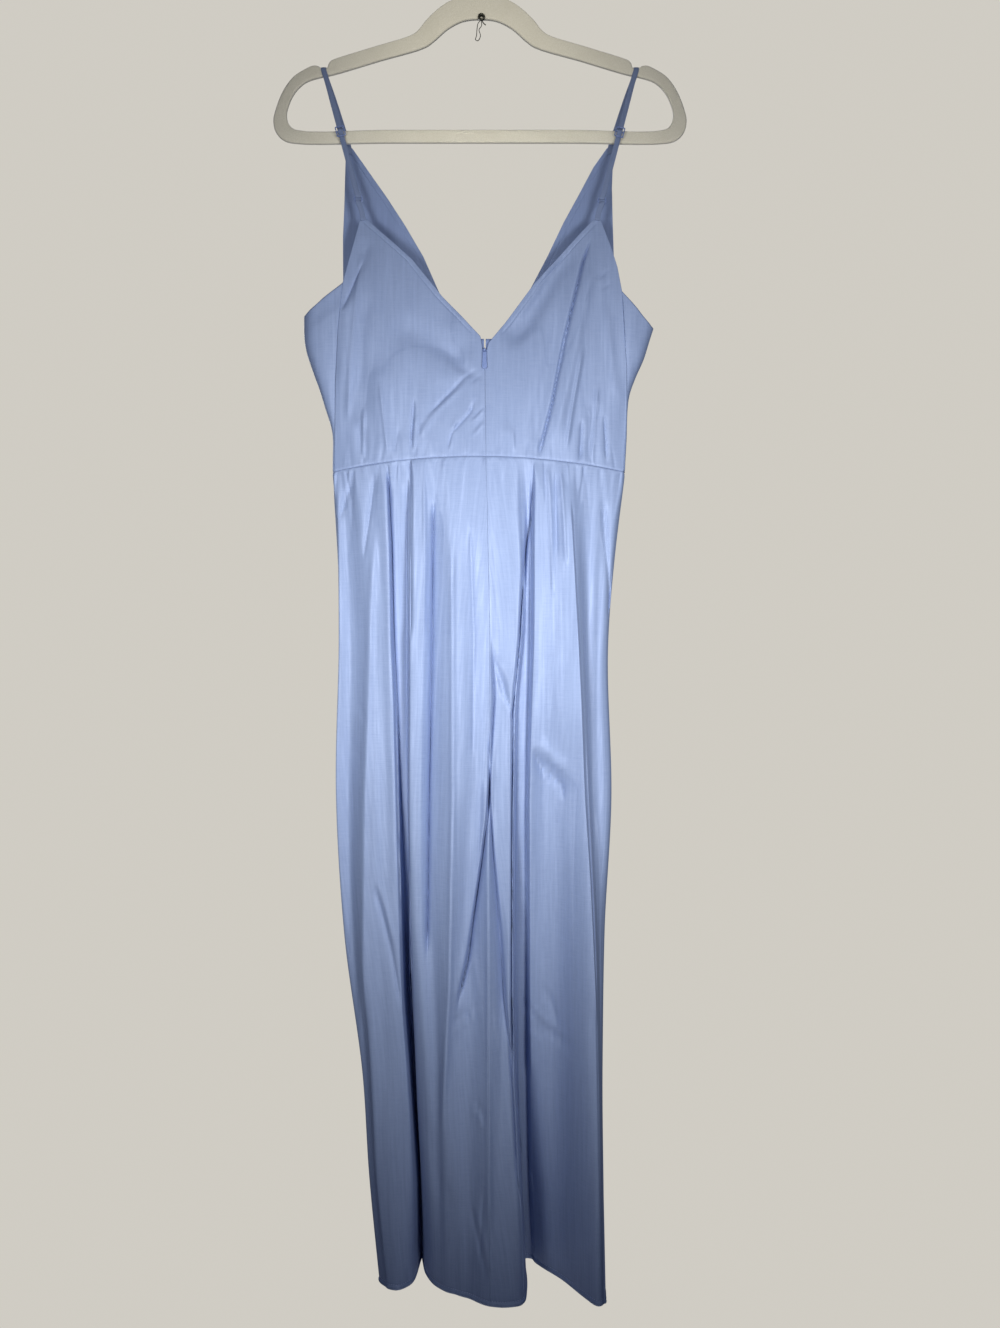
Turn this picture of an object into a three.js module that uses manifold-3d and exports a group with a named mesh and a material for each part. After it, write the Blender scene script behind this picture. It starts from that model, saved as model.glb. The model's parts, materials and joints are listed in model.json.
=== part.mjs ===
// A satin maxi dress with thin adjustable straps, hung by them on a slim notched hanger.
//
// The dress hangs with its zipped back towards -Y and its plain front towards +Y. The origin is
// the underside of the hook's crown, where a rail bears on it. X is to the right as the back is
// seen, Z is up, and all sizes are in millimetres.
//
// Every cloth piece is a thin wall: a sheet of points is worked out from the sizes below and
// thickened towards the inside of the dress.

import * as THREE from 'three';
import { mergeVertices } from 'three/addons/utils/BufferGeometryUtils.js';
import Module from 'manifold-3d';

const wasm = await Module();
wasm.setup();

// Cloth and fits
const CLOTH = 1.0;
const SEAM_GAP = 0.3;

// Hanger
const HANGER_WIDTH = 445;
const HANGER_THICK = 5;
const HANGER_TOP = -80;
const BAR_TOP = -226;
const BAR_BOTTOM = -240;
const NOTCH_X = 168;
const NOTCH_Z = -160.5;
const WIRE_RADIUS = 1.9;
const HOOK_RADIUS = 19;
const COLLAR_RADIUS = 5.5;
const COLLAR_HEIGHT = 6;

// Levels of the dress
const WAIST_Z = -585;
const WAIST_SIDE_DROP = 10;
const HEM_Z = -1445;
const FRONT_V = { x: 5, z: -482 };
const ZIP_END_Z = -725;

// Waist, measured flat
const WAIST_HALF = 157;
const WAIST_MIDDLE_X = -1.5;
const WAIST_SIDE_Y = 6;
const WAIST_BACK_BELLY = 34;
const WAIST_FRONT_BELLY = 24;

// Straps and their fittings
const STRAP_WIDTH = 6;
const STRAP_THICK = 1.0;
const RING_RADIUS = 4.2;
const RING_WIRE = 0.8;
const SLIDER = { width: 10, height: 11.2, thick: 1.2, bar: 1.2 };

// Zip
const TAPE_WIDTH = 22;
const PULL = { length: 21, width: 5.4, thick: 1.2, bar: 0.7, eye: 1.0, ring: 2.1, tilt: 8 };
const PULL_AXIS = { x: 5.3, z: -471 };

const COLOURS = {
  satin: { color: 0x93a6d6, roughness: 0.42, metalness: 0.0 },
  fitting: { color: 0x8195c6, roughness: 0.35, metalness: 0.1 },
  velvet: { color: 0xd6d0c0, roughness: 0.95, metalness: 0.0 },
  steel: { color: 0xb9bcc0, roughness: 0.25, metalness: 1.0 },
};

// Small helpers

const lerp = (a, b, t) => a + (b - a) * t;
const clamp01 = (t) => Math.min(1, Math.max(0, t));
const smooth = (t) => clamp01(t) ** 2 * (3 - 2 * clamp01(t));

// The value at `at` of a smooth curve through (knots[i], values[i]), whose knots rise or fall.
function through(knots, values, at) {
  const n = knots.length;
  const rising = knots[n - 1] > knots[0];
  let i = 0;
  while (i < n - 2 && (rising ? at > knots[i + 1] : at < knots[i + 1])) i += 1;
  const slope = (k) => {
    const a = Math.max(0, k - 1);
    const b = Math.min(n - 1, k + 1);
    return (values[b] - values[a]) / (knots[b] - knots[a]);
  };
  const h = knots[i + 1] - knots[i];
  const t = clamp01((at - knots[i]) / h);
  const rise = values[i + 1] - values[i];
  const a = slope(i) * h;
  const b = slope(i + 1) * h;
  return values[i] + t * (a + t * (3 * rise - 2 * a - b + t * (a + b - 2 * rise)));
}

// A point's place to a hundredth of a millimetre.
const placeOf = (p) => p.toArray().map((value) => Math.round(value * 100)).join(' ');

// A sheet of quads: point(i, j) for columns 0..columns and rows 0..rows. Columns run to the
// right as the outside of the cloth is seen, and rows run up.
function sheet(columns, rows, point) {
  const points = [];
  const faces = [];
  const at = (i, j) => j * (columns + 1) + i;
  for (let j = 0; j <= rows; j += 1) {
    for (let i = 0; i <= columns; i += 1) points.push(point(i, j));
  }
  for (let j = 0; j < rows; j += 1) {
    for (let i = 0; i < columns; i += 1) {
      faces.push([at(i, j), at(i + 1, j), at(i + 1, j + 1)]);
      faces.push([at(i, j), at(i + 1, j + 1), at(i, j + 1)]);
    }
  }
  return { points, faces };
}

// Two sheets as one, with the points that they share used once.
function joined(a, b) {
  const points = [];
  const index = new Map();
  const put = (p) => {
    if (!index.has(placeOf(p))) {
      index.set(placeOf(p), points.length);
      points.push(p);
    }
    return index.get(placeOf(p));
  };
  const faces = [];
  for (const part of [a, b]) {
    const places = part.points.map(put);
    for (const face of part.faces) faces.push(face.map((k) => places[k]));
  }
  return { points, faces };
}

// The outward normals of sheets that meet at seams: points in one place share one normal. At
// the waist seam the cloth is cut square.
function normalsOf(sheets) {
  const sums = new Map();
  for (const { points, faces } of sheets) {
    for (const [a, b, c] of faces) {
      const [p, q, r] = [a, b, c].map((k) => points[k]);
      const n = q.clone().sub(p).cross(r.clone().sub(p));
      for (const corner of [p, q, r]) {
        const place = placeOf(corner);
        if (!sums.has(place)) sums.set(place, new THREE.Vector3());
        sums.get(place).add(n);
      }
    }
  }
  return sheets.map(({ points }) => points.map((p) => {
    const n = sums.get(placeOf(p)).clone();
    if (Math.abs(p.z - waistZ(p.x)) < 0.01) n.setZ(0);
    return n.normalize();
  }));
}

// The sheet's rim as directed edges, by the number of the point that each one starts at.
function rimOf({ faces }) {
  const open = new Map();
  for (const [a, b, c] of faces) {
    for (const [p, q] of [[a, b], [b, c], [c, a]]) {
      if (!open.delete(`${q} ${p}`)) open.set(`${p} ${q}`, [p, q]);
    }
  }
  return new Map(open.values());
}

// The sheet with its rim drawn in by `by` all round, square to the rim.
function trimmed(surface, sheetNormals, by) {
  const points = surface.points.map((p) => p.clone());
  const rim = rimOf(surface);
  const inward = (p, q) => sheetNormals[p].clone()
    .cross(surface.points[q].clone().sub(surface.points[p])).normalize();
  for (const [p, q] of rim) {
    const r = rim.get(q);
    const before = inward(p, q);
    const after = inward(q, r);
    const share = by / Math.max(0.5, 1 + before.dot(after));
    points[q].addScaledVector(before.add(after), share);
  }
  return { points, faces: surface.faces };
}

// A closed wall: the sheet is its outer face, and its inner face lies `thick` behind it.
function wall(surface, sheetNormals, thick) {
  const count = surface.points.length;
  const inner = surface.points.map((p, k) => p.clone().addScaledVector(sheetNormals[k], -thick));
  const faces = [...surface.faces];
  for (const [a, b, c] of surface.faces) faces.push([a + count, c + count, b + count]);
  for (const [p, q] of rimOf(surface)) {
    faces.push([q, p, p + count], [q, p + count, q + count]);
  }
  const geometry = new THREE.BufferGeometry();
  geometry.setAttribute('position', new THREE.Float32BufferAttribute(
    [...surface.points, ...inner].flatMap((p) => p.toArray()), 3));
  geometry.setIndex(faces.flat());
  return geometry;
}

// The walls of cloth panels that meet at their seams, half a gap short of each seam.
function panelWalls(sheets) {
  const all = normalsOf(sheets);
  return sheets.map((surface, k) => wall(
    trimmed(surface, all[k], SEAM_GAP / 2), all[k], CLOTH));
}

function piece(name, geometry, look) {
  const mesh = new THREE.Mesh(geometry, new THREE.MeshStandardMaterial(COLOURS[look]));
  mesh.name = name;
  mesh.geometry.computeVertexNormals();
  return mesh;
}

// A manifold-3d solid of a closed geometry, and back.
function solid(geometry) {
  const bare = geometry.clone();
  bare.deleteAttribute('normal');
  bare.deleteAttribute('uv');
  const merged = mergeVertices(bare, 1e-4);
  return new wasm.Manifold(new wasm.Mesh({
    numProp: 3,
    vertProperties: new Float32Array(merged.attributes.position.array),
    triVerts: new Uint32Array(merged.index.array),
  }));
}

function fromSolid(body) {
  const mesh = body.getMesh();
  const geometry = new THREE.BufferGeometry();
  geometry.setAttribute('position', new THREE.Float32BufferAttribute(mesh.vertProperties, 3));
  geometry.setIndex(Array.from(mesh.triVerts));
  return geometry;
}

// Hanger

// The outer edge of the hanger's right half, from the top of its hump to the middle of its bar,
// as [x, z]. The notch for the strap is cut into it.
const HANGER_OUTSIDE = [
  [0, HANGER_TOP], [18, -82], [34, -88], [48, -98], [59, -109], [66, -118], [73, -123.5],
  [NOTCH_X - 9, -150.5], [NOTCH_X - 6, -153], [NOTCH_X - 4, NOTCH_Z], [NOTCH_X + 4, NOTCH_Z],
  [NOTCH_X + 7, -157.5], [NOTCH_X + 12, -157], [189, -161], [201, -169], [212, -184],
  [220, -204], [HANGER_WIDTH / 2, -216], [220, -228], [213, -236], [202, BAR_BOTTOM],
  [0, BAR_BOTTOM],
];

// The edge of its opening, the same way round.
const HANGER_INSIDE = [
  [0, -107], [18, -109], [34, -117], [49, -130], [59, -137], [158, -166.5], [170, -169],
  [188, -175], [200, -187], [207, -203], [208, -212], [205, -221], [198, BAR_TOP], [0, BAR_TOP],
];

function hangerFrame() {
  const mirrored = (half) => [
    ...half, ...half.slice(1, -1).reverse().map(([x, z]) => [-x, z]),
  ].map(([x, z]) => new THREE.Vector2(x, z));
  const bevel = 1.2;
  const plate = new THREE.ExtrudeGeometry(new THREE.Shape(mirrored(HANGER_OUTSIDE)), {
    depth: HANGER_THICK - 2 * bevel,
    bevelThickness: bevel,
    bevelSize: bevel,
    bevelOffset: -bevel,
    bevelSegments: 1,
  });
  plate.translate(0, 0, bevel - HANGER_THICK / 2);
  const opening = new THREE.ExtrudeGeometry(new THREE.Shape(mirrored(HANGER_INSIDE)), {
    depth: 2 * HANGER_THICK,
    bevelEnabled: false,
  });
  opening.translate(0, 0, -HANGER_THICK);
  return fromSolid(solid(plate).subtract(solid(opening))).rotateX(Math.PI / 2);
}

// The wire hook: up its stem, out to one side, and over the crown to a tip on the other.
function hook() {
  const r = HOOK_RADIUS + WIRE_RADIUS;
  const centreZ = -HOOK_RADIUS;
  const start = HANGER_TOP + SEAM_GAP;
  const points = [[0, start], [0, start + 12], [0, start + 24], [6, -45], [15, -36]];
  for (let degrees = -22; degrees <= 196; degrees += 14) {
    const a = THREE.MathUtils.degToRad(degrees);
    points.push([r * Math.cos(a), centreZ + r * Math.sin(a)]);
  }
  const path = new THREE.CatmullRomCurve3(points.map(([x, z]) => new THREE.Vector3(x, 0, z)));
  const section = new THREE.Shape();
  section.absarc(0, 0, WIRE_RADIUS, 0, 2 * Math.PI, false);
  return new THREE.ExtrudeGeometry(section, { extrudePath: path, steps: 36, curveSegments: 4 });
}

function collar() {
  const inner = WIRE_RADIUS + SEAM_GAP;
  const low = HANGER_TOP + SEAM_GAP;
  const profile = [
    [inner, low], [COLLAR_RADIUS, low], [COLLAR_RADIUS, low + COLLAR_HEIGHT - 1.5],
    [COLLAR_RADIUS - 1.5, low + COLLAR_HEIGHT], [inner, low + COLLAR_HEIGHT], [inner, low],
  ];
  const geometry = new THREE.LatheGeometry(profile.map(([x, z]) => new THREE.Vector2(x, z)), 14);
  return geometry.rotateX(Math.PI / 2);
}

// Bodice

// How far the back layer lies in front of the hanger's plane at a height, at the side seam and
// in the middle, and the same for the front layer behind it.
const DEPTH_LEVELS = [-595, -520, -456, -400, -325, -240];
const BACK_SIDE_Y = [-6, -9, -12, -12, -8, -6];
const BACK_MIDDLE_Y = [-40, -33, -25, -20, -12, -6];
const FRONT_SIDE_Y = [6, 10, 14, 15, 11, 7];
const FRONT_MIDDLE_Y = [30, 36, 38, 32, 18, 7];

// Soft folds of the bodice, each along a line from `from` to `to`, as [x, z]. A positive depth
// is a dip towards +Y.
const BACK_CREASES = [
  { from: [108, -335], to: [22, -470], depth: 5, width: 13 },
  { from: [100, -345], to: [52, -600], depth: 4, width: 8 },
  { from: [122, -350], to: [76, -600], depth: -4, width: 10 },
  { from: [-134, -372], to: [-150, -520], depth: -4, width: 9 },
  { from: [-118, -345], to: [-146, -425], depth: 4, width: 7 },
  { from: [-112, -470], to: [-96, -600], depth: -4, width: 9 },
  { from: [-96, -440], to: [-6, -482], depth: 5, width: 15 },
  { from: [-30, -500], to: [-70, -575], depth: 4, width: 12 },
  { from: [-128, -540], to: [-118, -610], depth: 4, width: 6 },
  { from: [-60, -545], to: [-44, -610], depth: -3, width: 6 },
  { from: [28, -545], to: [32, -610], depth: -3, width: 6 },
  { from: [126, -520], to: [108, -610], depth: 4, width: 7 },
];
const FRONT_CREASES = [
  { from: [-132, -300], to: [-70, -400], depth: 4, width: 11 },
  { from: [128, -300], to: [96, -420], depth: 4, width: 11 },
  { from: [-80, -440], to: [-70, -600], depth: -5, width: 12 },
  { from: [-120, -450], to: [-104, -600], depth: 5, width: 12 },
  { from: [60, -430], to: [66, -600], depth: 5, width: 13 },
  { from: [110, -460], to: [104, -600], depth: -5, width: 12 },
];

function creaseDepth(creases, x, z) {
  let sum = 0;
  for (const { from, to, depth, width } of creases) {
    const dx = to[0] - from[0];
    const dz = to[1] - from[1];
    const length = Math.hypot(dx, dz);
    const share = ((x - from[0]) * dx + (z - from[1]) * dz) / length ** 2;
    const off = ((x - from[0]) * dz - (z - from[1]) * dx) / length;
    const fade = smooth(share * 4) * smooth((1 - share) * 4);
    sum += depth * fade * Math.exp(-((off / width) ** 2));
  }
  return sum;
}

const bulge = (x) => Math.max(0, 1 - ((x - WAIST_MIDDLE_X) / WAIST_HALF) ** 2);

function backY(x, z) {
  const side = through(DEPTH_LEVELS, BACK_SIDE_Y, z);
  const middle = through(DEPTH_LEVELS, BACK_MIDDLE_Y, z);
  return lerp(side, middle, bulge(x)) + creaseDepth(BACK_CREASES, x, z);
}

function frontY(x, z) {
  const side = through(DEPTH_LEVELS, FRONT_SIDE_Y, z);
  const middle = through(DEPTH_LEVELS, FRONT_MIDDLE_Y, z);
  return lerp(side, middle, bulge(x)) + creaseDepth(FRONT_CREASES, x, z);
}

const waistZ = (x) => WAIST_Z - WAIST_SIDE_DROP * ((x - WAIST_MIDDLE_X) / WAIST_HALF) ** 2;

// The edges of the bodice's halves as [x, z], from the waist up. The side seam ends under the
// arm, where the armholes of the back and of the front begin. The front's own armhole starts
// further round, beyond the flap.
const HALVES = {
  left: {
    turn: 1,
    seam: [[-156, -595], [-155.5, -560], [-154, -500], [-151, -445], [-146, -395]],
    backArmhole: [[-146, -395], [-140.4, -373], [-134, -350], [-127.5, -326]],
    neck: [[7, WAIST_Z], [6.2, -530], [5.6, -484], [3.4, -471], [1, -456], [-20, -433],
      [-40, -412], [-72, -371], [-121, -326]],
    frontArmhole: [[-150, -386], [-149.5, -335], [-147.5, -296], [-145.5, -242]],
    frontNeck: [[-43, -396], [-63, -353], [-81, -324], [-101, -294], [-120, -268], [-138.5, -242]],
    flap: [2.5, 3, 15, 27, 39, 44],
    foldDrop: 36,
  },
  right: {
    turn: -1,
    seam: [[153.5, -595], [156, -560], [157.2, -520], [156.5, -480], [154, -440], [151.5, -404]],
    backArmhole: [[151.5, -404], [146.7, -378], [140.5, -357.7], [132.9, -337.5], [128.5, -326]],
    neck: [[7, WAIST_Z], [6.2, -530], [5.6, -484], [7.4, -471], [9.5, -463], [27, -441],
      [57, -399], [94, -356], [122, -326]],
    frontArmhole: [[147, -386], [144.4, -322], [143.1, -284], [144.5, -242]],
    frontNeck: [[50, -396], [74, -353], [91, -319], [107, -291], [123, -262], [137.5, -242]],
    flap: [2, 2, 2.5, 11, 24.5, 36],
    foldDrop: 44,
  },
};

// Rows of each panel up to the armhole, and above it.
const SEAM_ROWS = 12;
const BACK_TOP_ROWS = 5;
const FRONT_TOP_ROWS = 8;
const BACK_COLUMNS = 13;
const FLAP_COLUMNS = 8;
const FRONT_COLUMNS = 11;
const ARMHOLE_Z = -400;

// The x of an edge at a height: the edge's points rise all the way up.
function edgeX(edge, z) {
  const k = Math.max(1, edge.findIndex((p) => p[1] >= z));
  const [a, b] = z > edge[edge.length - 1][1] ? edge.slice(-2) : [edge[k - 1], edge[k]];
  return lerp(a[0], b[0], clamp01((z - a[1]) / (b[1] - a[1])));
}

// The side seam at a share t of its height.
function seamPoint({ seam }, t) {
  const z = lerp(seam[0][1], seam[seam.length - 1][1], t);
  const x = edgeX(seam, z);
  return new THREE.Vector3(x, 0, t === 0 ? waistZ(x) : z);
}

function backBodice(half) {
  const { turn, backArmhole, neck } = half;
  const peakZ = neck[neck.length - 1][1];
  return sheet(BACK_COLUMNS, SEAM_ROWS + BACK_TOP_ROWS, (i, j) => {
    const s = (turn > 0 ? BACK_COLUMNS - i : i) / BACK_COLUMNS;
    const t = j / SEAM_ROWS;
    const above = (j - SEAM_ROWS) / BACK_TOP_ROWS;
    const innerZ = t < 1 ? lerp(WAIST_Z, ARMHOLE_Z, t) : lerp(ARMHOLE_Z, peakZ, above);
    const innerX = edgeX(neck, innerZ);
    const outer = seamPoint(half, Math.min(1, t));
    if (above > 0) {
      outer.z = lerp(backArmhole[0][1], peakZ, above);
      outer.x = edgeX(backArmhole, outer.z);
    }
    const x = lerp(innerX, outer.x, s);
    const z = j ? lerp(innerZ, outer.z, s ** 2) : waistZ(x);
    return new THREE.Vector3(x, backY(x, z), z);
  });
}

// Under each arm the front is fuller than the back, so it folds round the side and shows as a
// flap beyond the side seam. `flap` is how far out the fold reaches at each of these shares of
// the height from the waist to the armhole.
const FLAP_STEPS = [0, 0.2, 0.42, 0.62, 0.82, 1];

// The flap's section from either end to its fold: how far out it is, and how far its depth has
// turned from that end's to the fold's.
const FLAP_SECTION = [[0, 0], [0.5, 0.12], [0.85, 0.4]];

// A point a share s of the way round the flap, at share t of the height.
function flapPoint(half, s, t) {
  const { turn, flap, foldDrop, frontArmhole } = half;
  const near = seamPoint(half, t);
  near.y = backY(near.x, near.z);
  const foldX = near.x - turn * through(FLAP_STEPS, flap, t);
  const farX = lerp(near.x, frontArmhole[0][0], t);
  const farZ = lerp(waistZ(farX), frontArmhole[0][1], t);
  const farY = frontY(farX, farZ);
  const foldY = lerp(near.y, farY, 0.55);
  const section = new THREE.CatmullRomCurve3([
    ...FLAP_SECTION.map(([out, turned]) => new THREE.Vector3(
      lerp(near.x, foldX, out), lerp(near.y, foldY, turned), 0)),
    new THREE.Vector3(foldX, foldY, 0),
    ...FLAP_SECTION.map(([out, turned]) => new THREE.Vector3(
      lerp(farX, foldX, out), lerp(farY, foldY, turned), 0)).reverse(),
  ]);
  const p = section.getPoint(s);
  const drop = foldDrop * Math.sin(Math.PI * s) * smooth(t * 1.2) * t;
  p.z = t === 0 ? waistZ(p.x) : lerp(near.z, farZ, s) - drop;
  return p;
}

// The centre seam's x, and above it the front neckline's, at a height.
function frontEdgeX({ frontNeck }, z) {
  const edge = [[FRONT_V.x, FRONT_V.z], ...frontNeck];
  return z < FRONT_V.z ? FRONT_V.x : edgeX(edge, z);
}

function frontBodice(half) {
  const { turn, frontArmhole, frontNeck } = half;
  // The outside of the front is seen from +Y, so its columns run the other way.
  const order = (columns, i) => (turn > 0 ? columns - i : i);
  const total = FLAP_COLUMNS + FRONT_COLUMNS;
  const low = sheet(total, SEAM_ROWS, (i, j) => {
    const k = order(total, i);
    const t = j / SEAM_ROWS;
    if (k <= FLAP_COLUMNS) return flapPoint(half, k / FLAP_COLUMNS, t);
    const s = (k - FLAP_COLUMNS) / FRONT_COLUMNS;
    const start = flapPoint(half, 1, t);
    const level = lerp(WAIST_Z, frontArmhole[0][1], t);
    const x = lerp(start.x, frontEdgeX(half, level), s);
    const z = j ? lerp(start.z, level, 1 - (1 - s) ** 2) : waistZ(x);
    return new THREE.Vector3(x, frontY(x, z), z);
  });
  const topZ = frontNeck[frontNeck.length - 1][1];
  const high = sheet(FRONT_COLUMNS, FRONT_TOP_ROWS, (i, j) => {
    const s = order(FRONT_COLUMNS, i) / FRONT_COLUMNS;
    const z = lerp(frontArmhole[0][1], topZ, j / FRONT_TOP_ROWS);
    const x = lerp(edgeX(frontArmhole, z), frontEdgeX(half, z), s);
    return new THREE.Vector3(x, frontY(x, z), z);
  });
  return joined(low, high);
}

// Skirt

// Heights at which the fold lines are given: waist, hip, thigh, knee, shin, ankle and hem.
const SKIRT_LEVELS = [-590, -776, -941, -1085, -1225, -1335, HEM_Z];

// Each fold line of the skirt: its x at the seven levels, then its y from the hip down. At the
// waist y follows the waist's curve. The back's lines run from the left side seam to the right
// one, and the front's go on round from there.
const BACK_FOLDS = [
  ['left_seam', [-156, -149, -151, -142, -122.5, -114.5, -103], [-8, -10, -14, -18, -22, -26]],
  ['left_edge', [-152, -149.5, -152.5, -143, -123.5, -115.5, -104], [-15, -16, -20, -26, -31, -35]],
  ['left_dip', [-146, -137, -139, -133, -117, -110, -98], [-15, -17, -24, -31, -37, -43]],
  ['left_ridge', [-132, -115, -119, -121.5, -112, -104, -93], [-27, -32, -36, -40, -43, -47]],
  ['left_face', [-114, -103, -103, -101, -95, -90, -82], [-31, -34, -38, -42, -46, -49]],
  ['left_lobe_edge', [-97, -92, -86, -80, -74, -70, -70], [-33, -35, -38, -40, -40, -38]],
  ['left_recess', [-86, -82.5, -79.5, -75.5, -69.5, -64.5, -63], [-17, -14, -10, -6, -1, 4]],
  ['left_pleat_edge', [-74, -72.5, -72.5, -71, -65, -60, -57], [-41, -44, -44, -39, -32, -20]],
  ['left_pleat_face', [-61, -60, -61, -61, -56, -51, -47], [-46, -50, -51, -50, -47, -39]],
  ['left_pleat_step', [-48, -48, -51, -49, -45, -41, -37], [-41, -44, -49, -52, -52, -50]],
  ['middle_ridge', [-28, -27, -27, -29.5, -33, -30, -22], [-51, -56, -60, -60, -59, -57]],
  ['middle_valley', [-9, -6, 0, -7, -14, -11, -9], [-45, -46, -49, -54, -60, -64]],
  ['centre_seam', [7, 11, 9.5, 9.5, 9.5, 10.5, 11.5], [-46, -49, -58, -64, -70, -75]],
  ['centre_line', [22, 24, 17, 22, 24, 25, 28], [-43, -44, -50, -59, -68, -77]],
  ['centre_edge', [38, 43, 34, 34, 34.5, 40, 44], [-43, -45, -53, -61, -70, -73]],
  ['centre_turn', [43, 47.5, 38.5, 38.5, 39, 44, 49], [-35, -34, -39, -43, -48, -52]],
  ['centre_recess', [49, 51.5, 45, 43.5, 43.5, 46.5, 50], [-29, -24, -17, -9, 0, 9]],
  ['right_pleat_edge', [56, 57, 52, 52, 54, 58, 63], [-43, -39, -30, -22, -15, -9]],
  ['right_face', [72, 73, 70, 70, 73, 78, 84], [-44, -41, -36, -34, -38, -42]],
  ['right_ridge', [86, 90, 93, 98, 101, 103, 106], [-48, -51, -55, -59, -64, -69]],
  ['right_pleat_fold', [97, 103, 110, 117, 120, 120, 119], [-45, -48, -55, -63, -71, -77]],
  ['right_recess', [110, 113, 119, 123.5, 125, 125.5, 126.5], [-28, -30, -38, -49, -61, -73]],
  ['right_edge', [149, 134, 138, 130, 127.5, 128, 128.5], [-17, -19, -27, -38, -50, -62]],
  ['right_seam', [153.5, 137, 141, 132.5, 129.5, 129.5, 129], [-8, -8, -15, -24, -34, -46]],
];
const FRONT_FOLDS = [
  ['right_side', [155.5, 137, 141, 132, 128.5, 127.5, 126], [2, 2, -1, -6, -13, -22]],
  ['right_turn', [149, 130, 133, 125, 121, 119, 116], [12, 13, 13, 11, 7, 2]],
  ['front_crest_1', [131, 113, 110, 104, 99, 96, 92], [22, 28, 33, 36, 33, 28]],
  ['front_dip_1', [107, 93, 87, 82, 79, 77, 74], [23, 22, 22, 22, 22, 21]],
  ['front_crest_2', [88, 76, 69, 65, 61, 59, 57], [29, 33, 38, 44, 48, 50]],
  ['front_dip_2', [52, 46, 43, 42, 41, 40, 38], [27, 28, 28, 27, 26, 25]],
  ['front_crest_3', [22, 25, 26, 25, 23, 22, 21], [39, 46, 49, 53, 56, 58]],
  ['front_dip_3', [-8, 0, 3, 4, 4, 4, 3], [31, 31, 30, 31, 34, 38]],
  ['front_crest_4', [-24, -17, -12, -11, -11, -12, -12], [36, 42, 47, 53, 57, 58]],
  ['front_dip_4', [-63, -52, -45, -41, -37, -35, -34], [25, 24, 22, 20, 19, 18]],
  ['front_crest_5', [-92, -78, -71, -66, -61, -58, -54], [35, 42, 47, 51, 52, 51]],
  ['front_dip_5', [-116, -101, -96, -89, -80, -77, -73], [21, 22, 23, 25, 26, 26]],
  ['front_crest_6', [-134, -121, -119, -111, -99, -94, -87], [20, 24, 27, 28, 27, 24]],
  ['left_turn', [-152, -142, -143, -134, -116, -108, -98], [12, 13, 11, 9, 7, 4]],
  ['left_side', [-158.5, -149.5, -152, -142.5, -123, -114.5, -103], [3, 2, -1, -5, -8, -13]],
];
const FOLDS = [...BACK_FOLDS, ...FRONT_FOLDS];
const foldNumber = (name) => FOLDS.findIndex((fold) => fold[0] === name);
const BACK_STEPS = 3;
const FRONT_STEPS = 3;

// y on the waist's curve, whose ends turn from the back layer to the front one.
function waistY(x, front) {
  const belly = front ? WAIST_FRONT_BELLY : -WAIST_BACK_BELLY;
  const side = front ? WAIST_SIDE_Y : -WAIST_SIDE_Y;
  return bulge(x) < 0.01 ? 0 : side + belly * bulge(x);
}

// Where a fold line is at a height. The folds open out quickly under the waist.
function foldPoint(k, z) {
  const [, xs, ys] = FOLDS[k];
  const atWaist = waistY(xs[0], k >= BACK_FOLDS.length);
  const t = clamp01((SKIRT_LEVELS[0] - z) / (SKIRT_LEVELS[0] - SKIRT_LEVELS[1]));
  const y = t < 1
    ? lerp(atWaist, ys[0], 1 - (1 - t) ** 2)
    : through(SKIRT_LEVELS.slice(1), ys, z);
  return new THREE.Vector3(through(SKIRT_LEVELS, xs, z), y, z);
}

// The skirt's closed section at a height, and points on it a share of a fold apart.
function skirtSection(z) {
  const curve = new THREE.CatmullRomCurve3(FOLDS.map((_, k) => foldPoint(k, z)), true);
  return (fold) => curve.getPoint(((fold / FOLDS.length) % 1 + 1) % 1);
}

// Rows of the skirt, closer together under the waist.
const SKIRT_ROWS = 14;
const skirtRowZ = (j) => lerp(HEM_Z, SKIRT_LEVELS[0], 1 - (1 - j / SKIRT_ROWS) ** 1.35);

function skirtPanel(first, last, stepsPerFold) {
  const columns = (last - first) * stepsPerFold;
  const sections = [];
  for (let j = 0; j <= SKIRT_ROWS; j += 1) sections.push(skirtSection(skirtRowZ(j)));
  return sheet(columns, SKIRT_ROWS, (i, j) => {
    const p = sections[j](first + i / stepsPerFold);
    // The top rows take up the arch of the waist seam.
    const near = smooth((p.z - SKIRT_LEVELS[0] + 90) / 90);
    p.z += (waistZ(p.x) - SKIRT_LEVELS[0]) * near;
    return p;
  });
}

// Straps and fittings

// Where each strap's parts lie, as [x, z]. The ring and the slider lie in front of the bar.
const STRAPS = {
  left: { notch: [-NOTCH_X, NOTCH_Z], tip: [-142, -241.6], ring: [-129.8, -304], peak: [-124.3, -326] },
  right: { notch: [NOTCH_X, NOTCH_Z], tip: [141, -241.6], ring: [130.5, -306], peak: [125.2, -326] },
};
const RING_Y = -9;
const SLIDER_SHARE = 0.49;
const SLIDER_Y = -7.6;

// A flat ribbon along a path of points. Its width runs along X as near as the path allows.
function ribbon(path, width, thick) {
  const rows = path.length - 1;
  const frames = path.map((p, k) => {
    const ahead = path[Math.min(rows, k + 1)].clone().sub(path[Math.max(0, k - 1)]).normalize();
    const across = new THREE.Vector3(1, 0, 0).addScaledVector(ahead, -ahead.x).normalize();
    return { across, out: across.clone().cross(ahead) };
  });
  const surface = sheet(1, rows, (i, j) => path[j].clone()
    .addScaledVector(frames[j].across, (i - 0.5) * width)
    .addScaledVector(frames[j].out, thick / 2));
  return wall(surface, normalsOf([surface])[0], thick);
}

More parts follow.
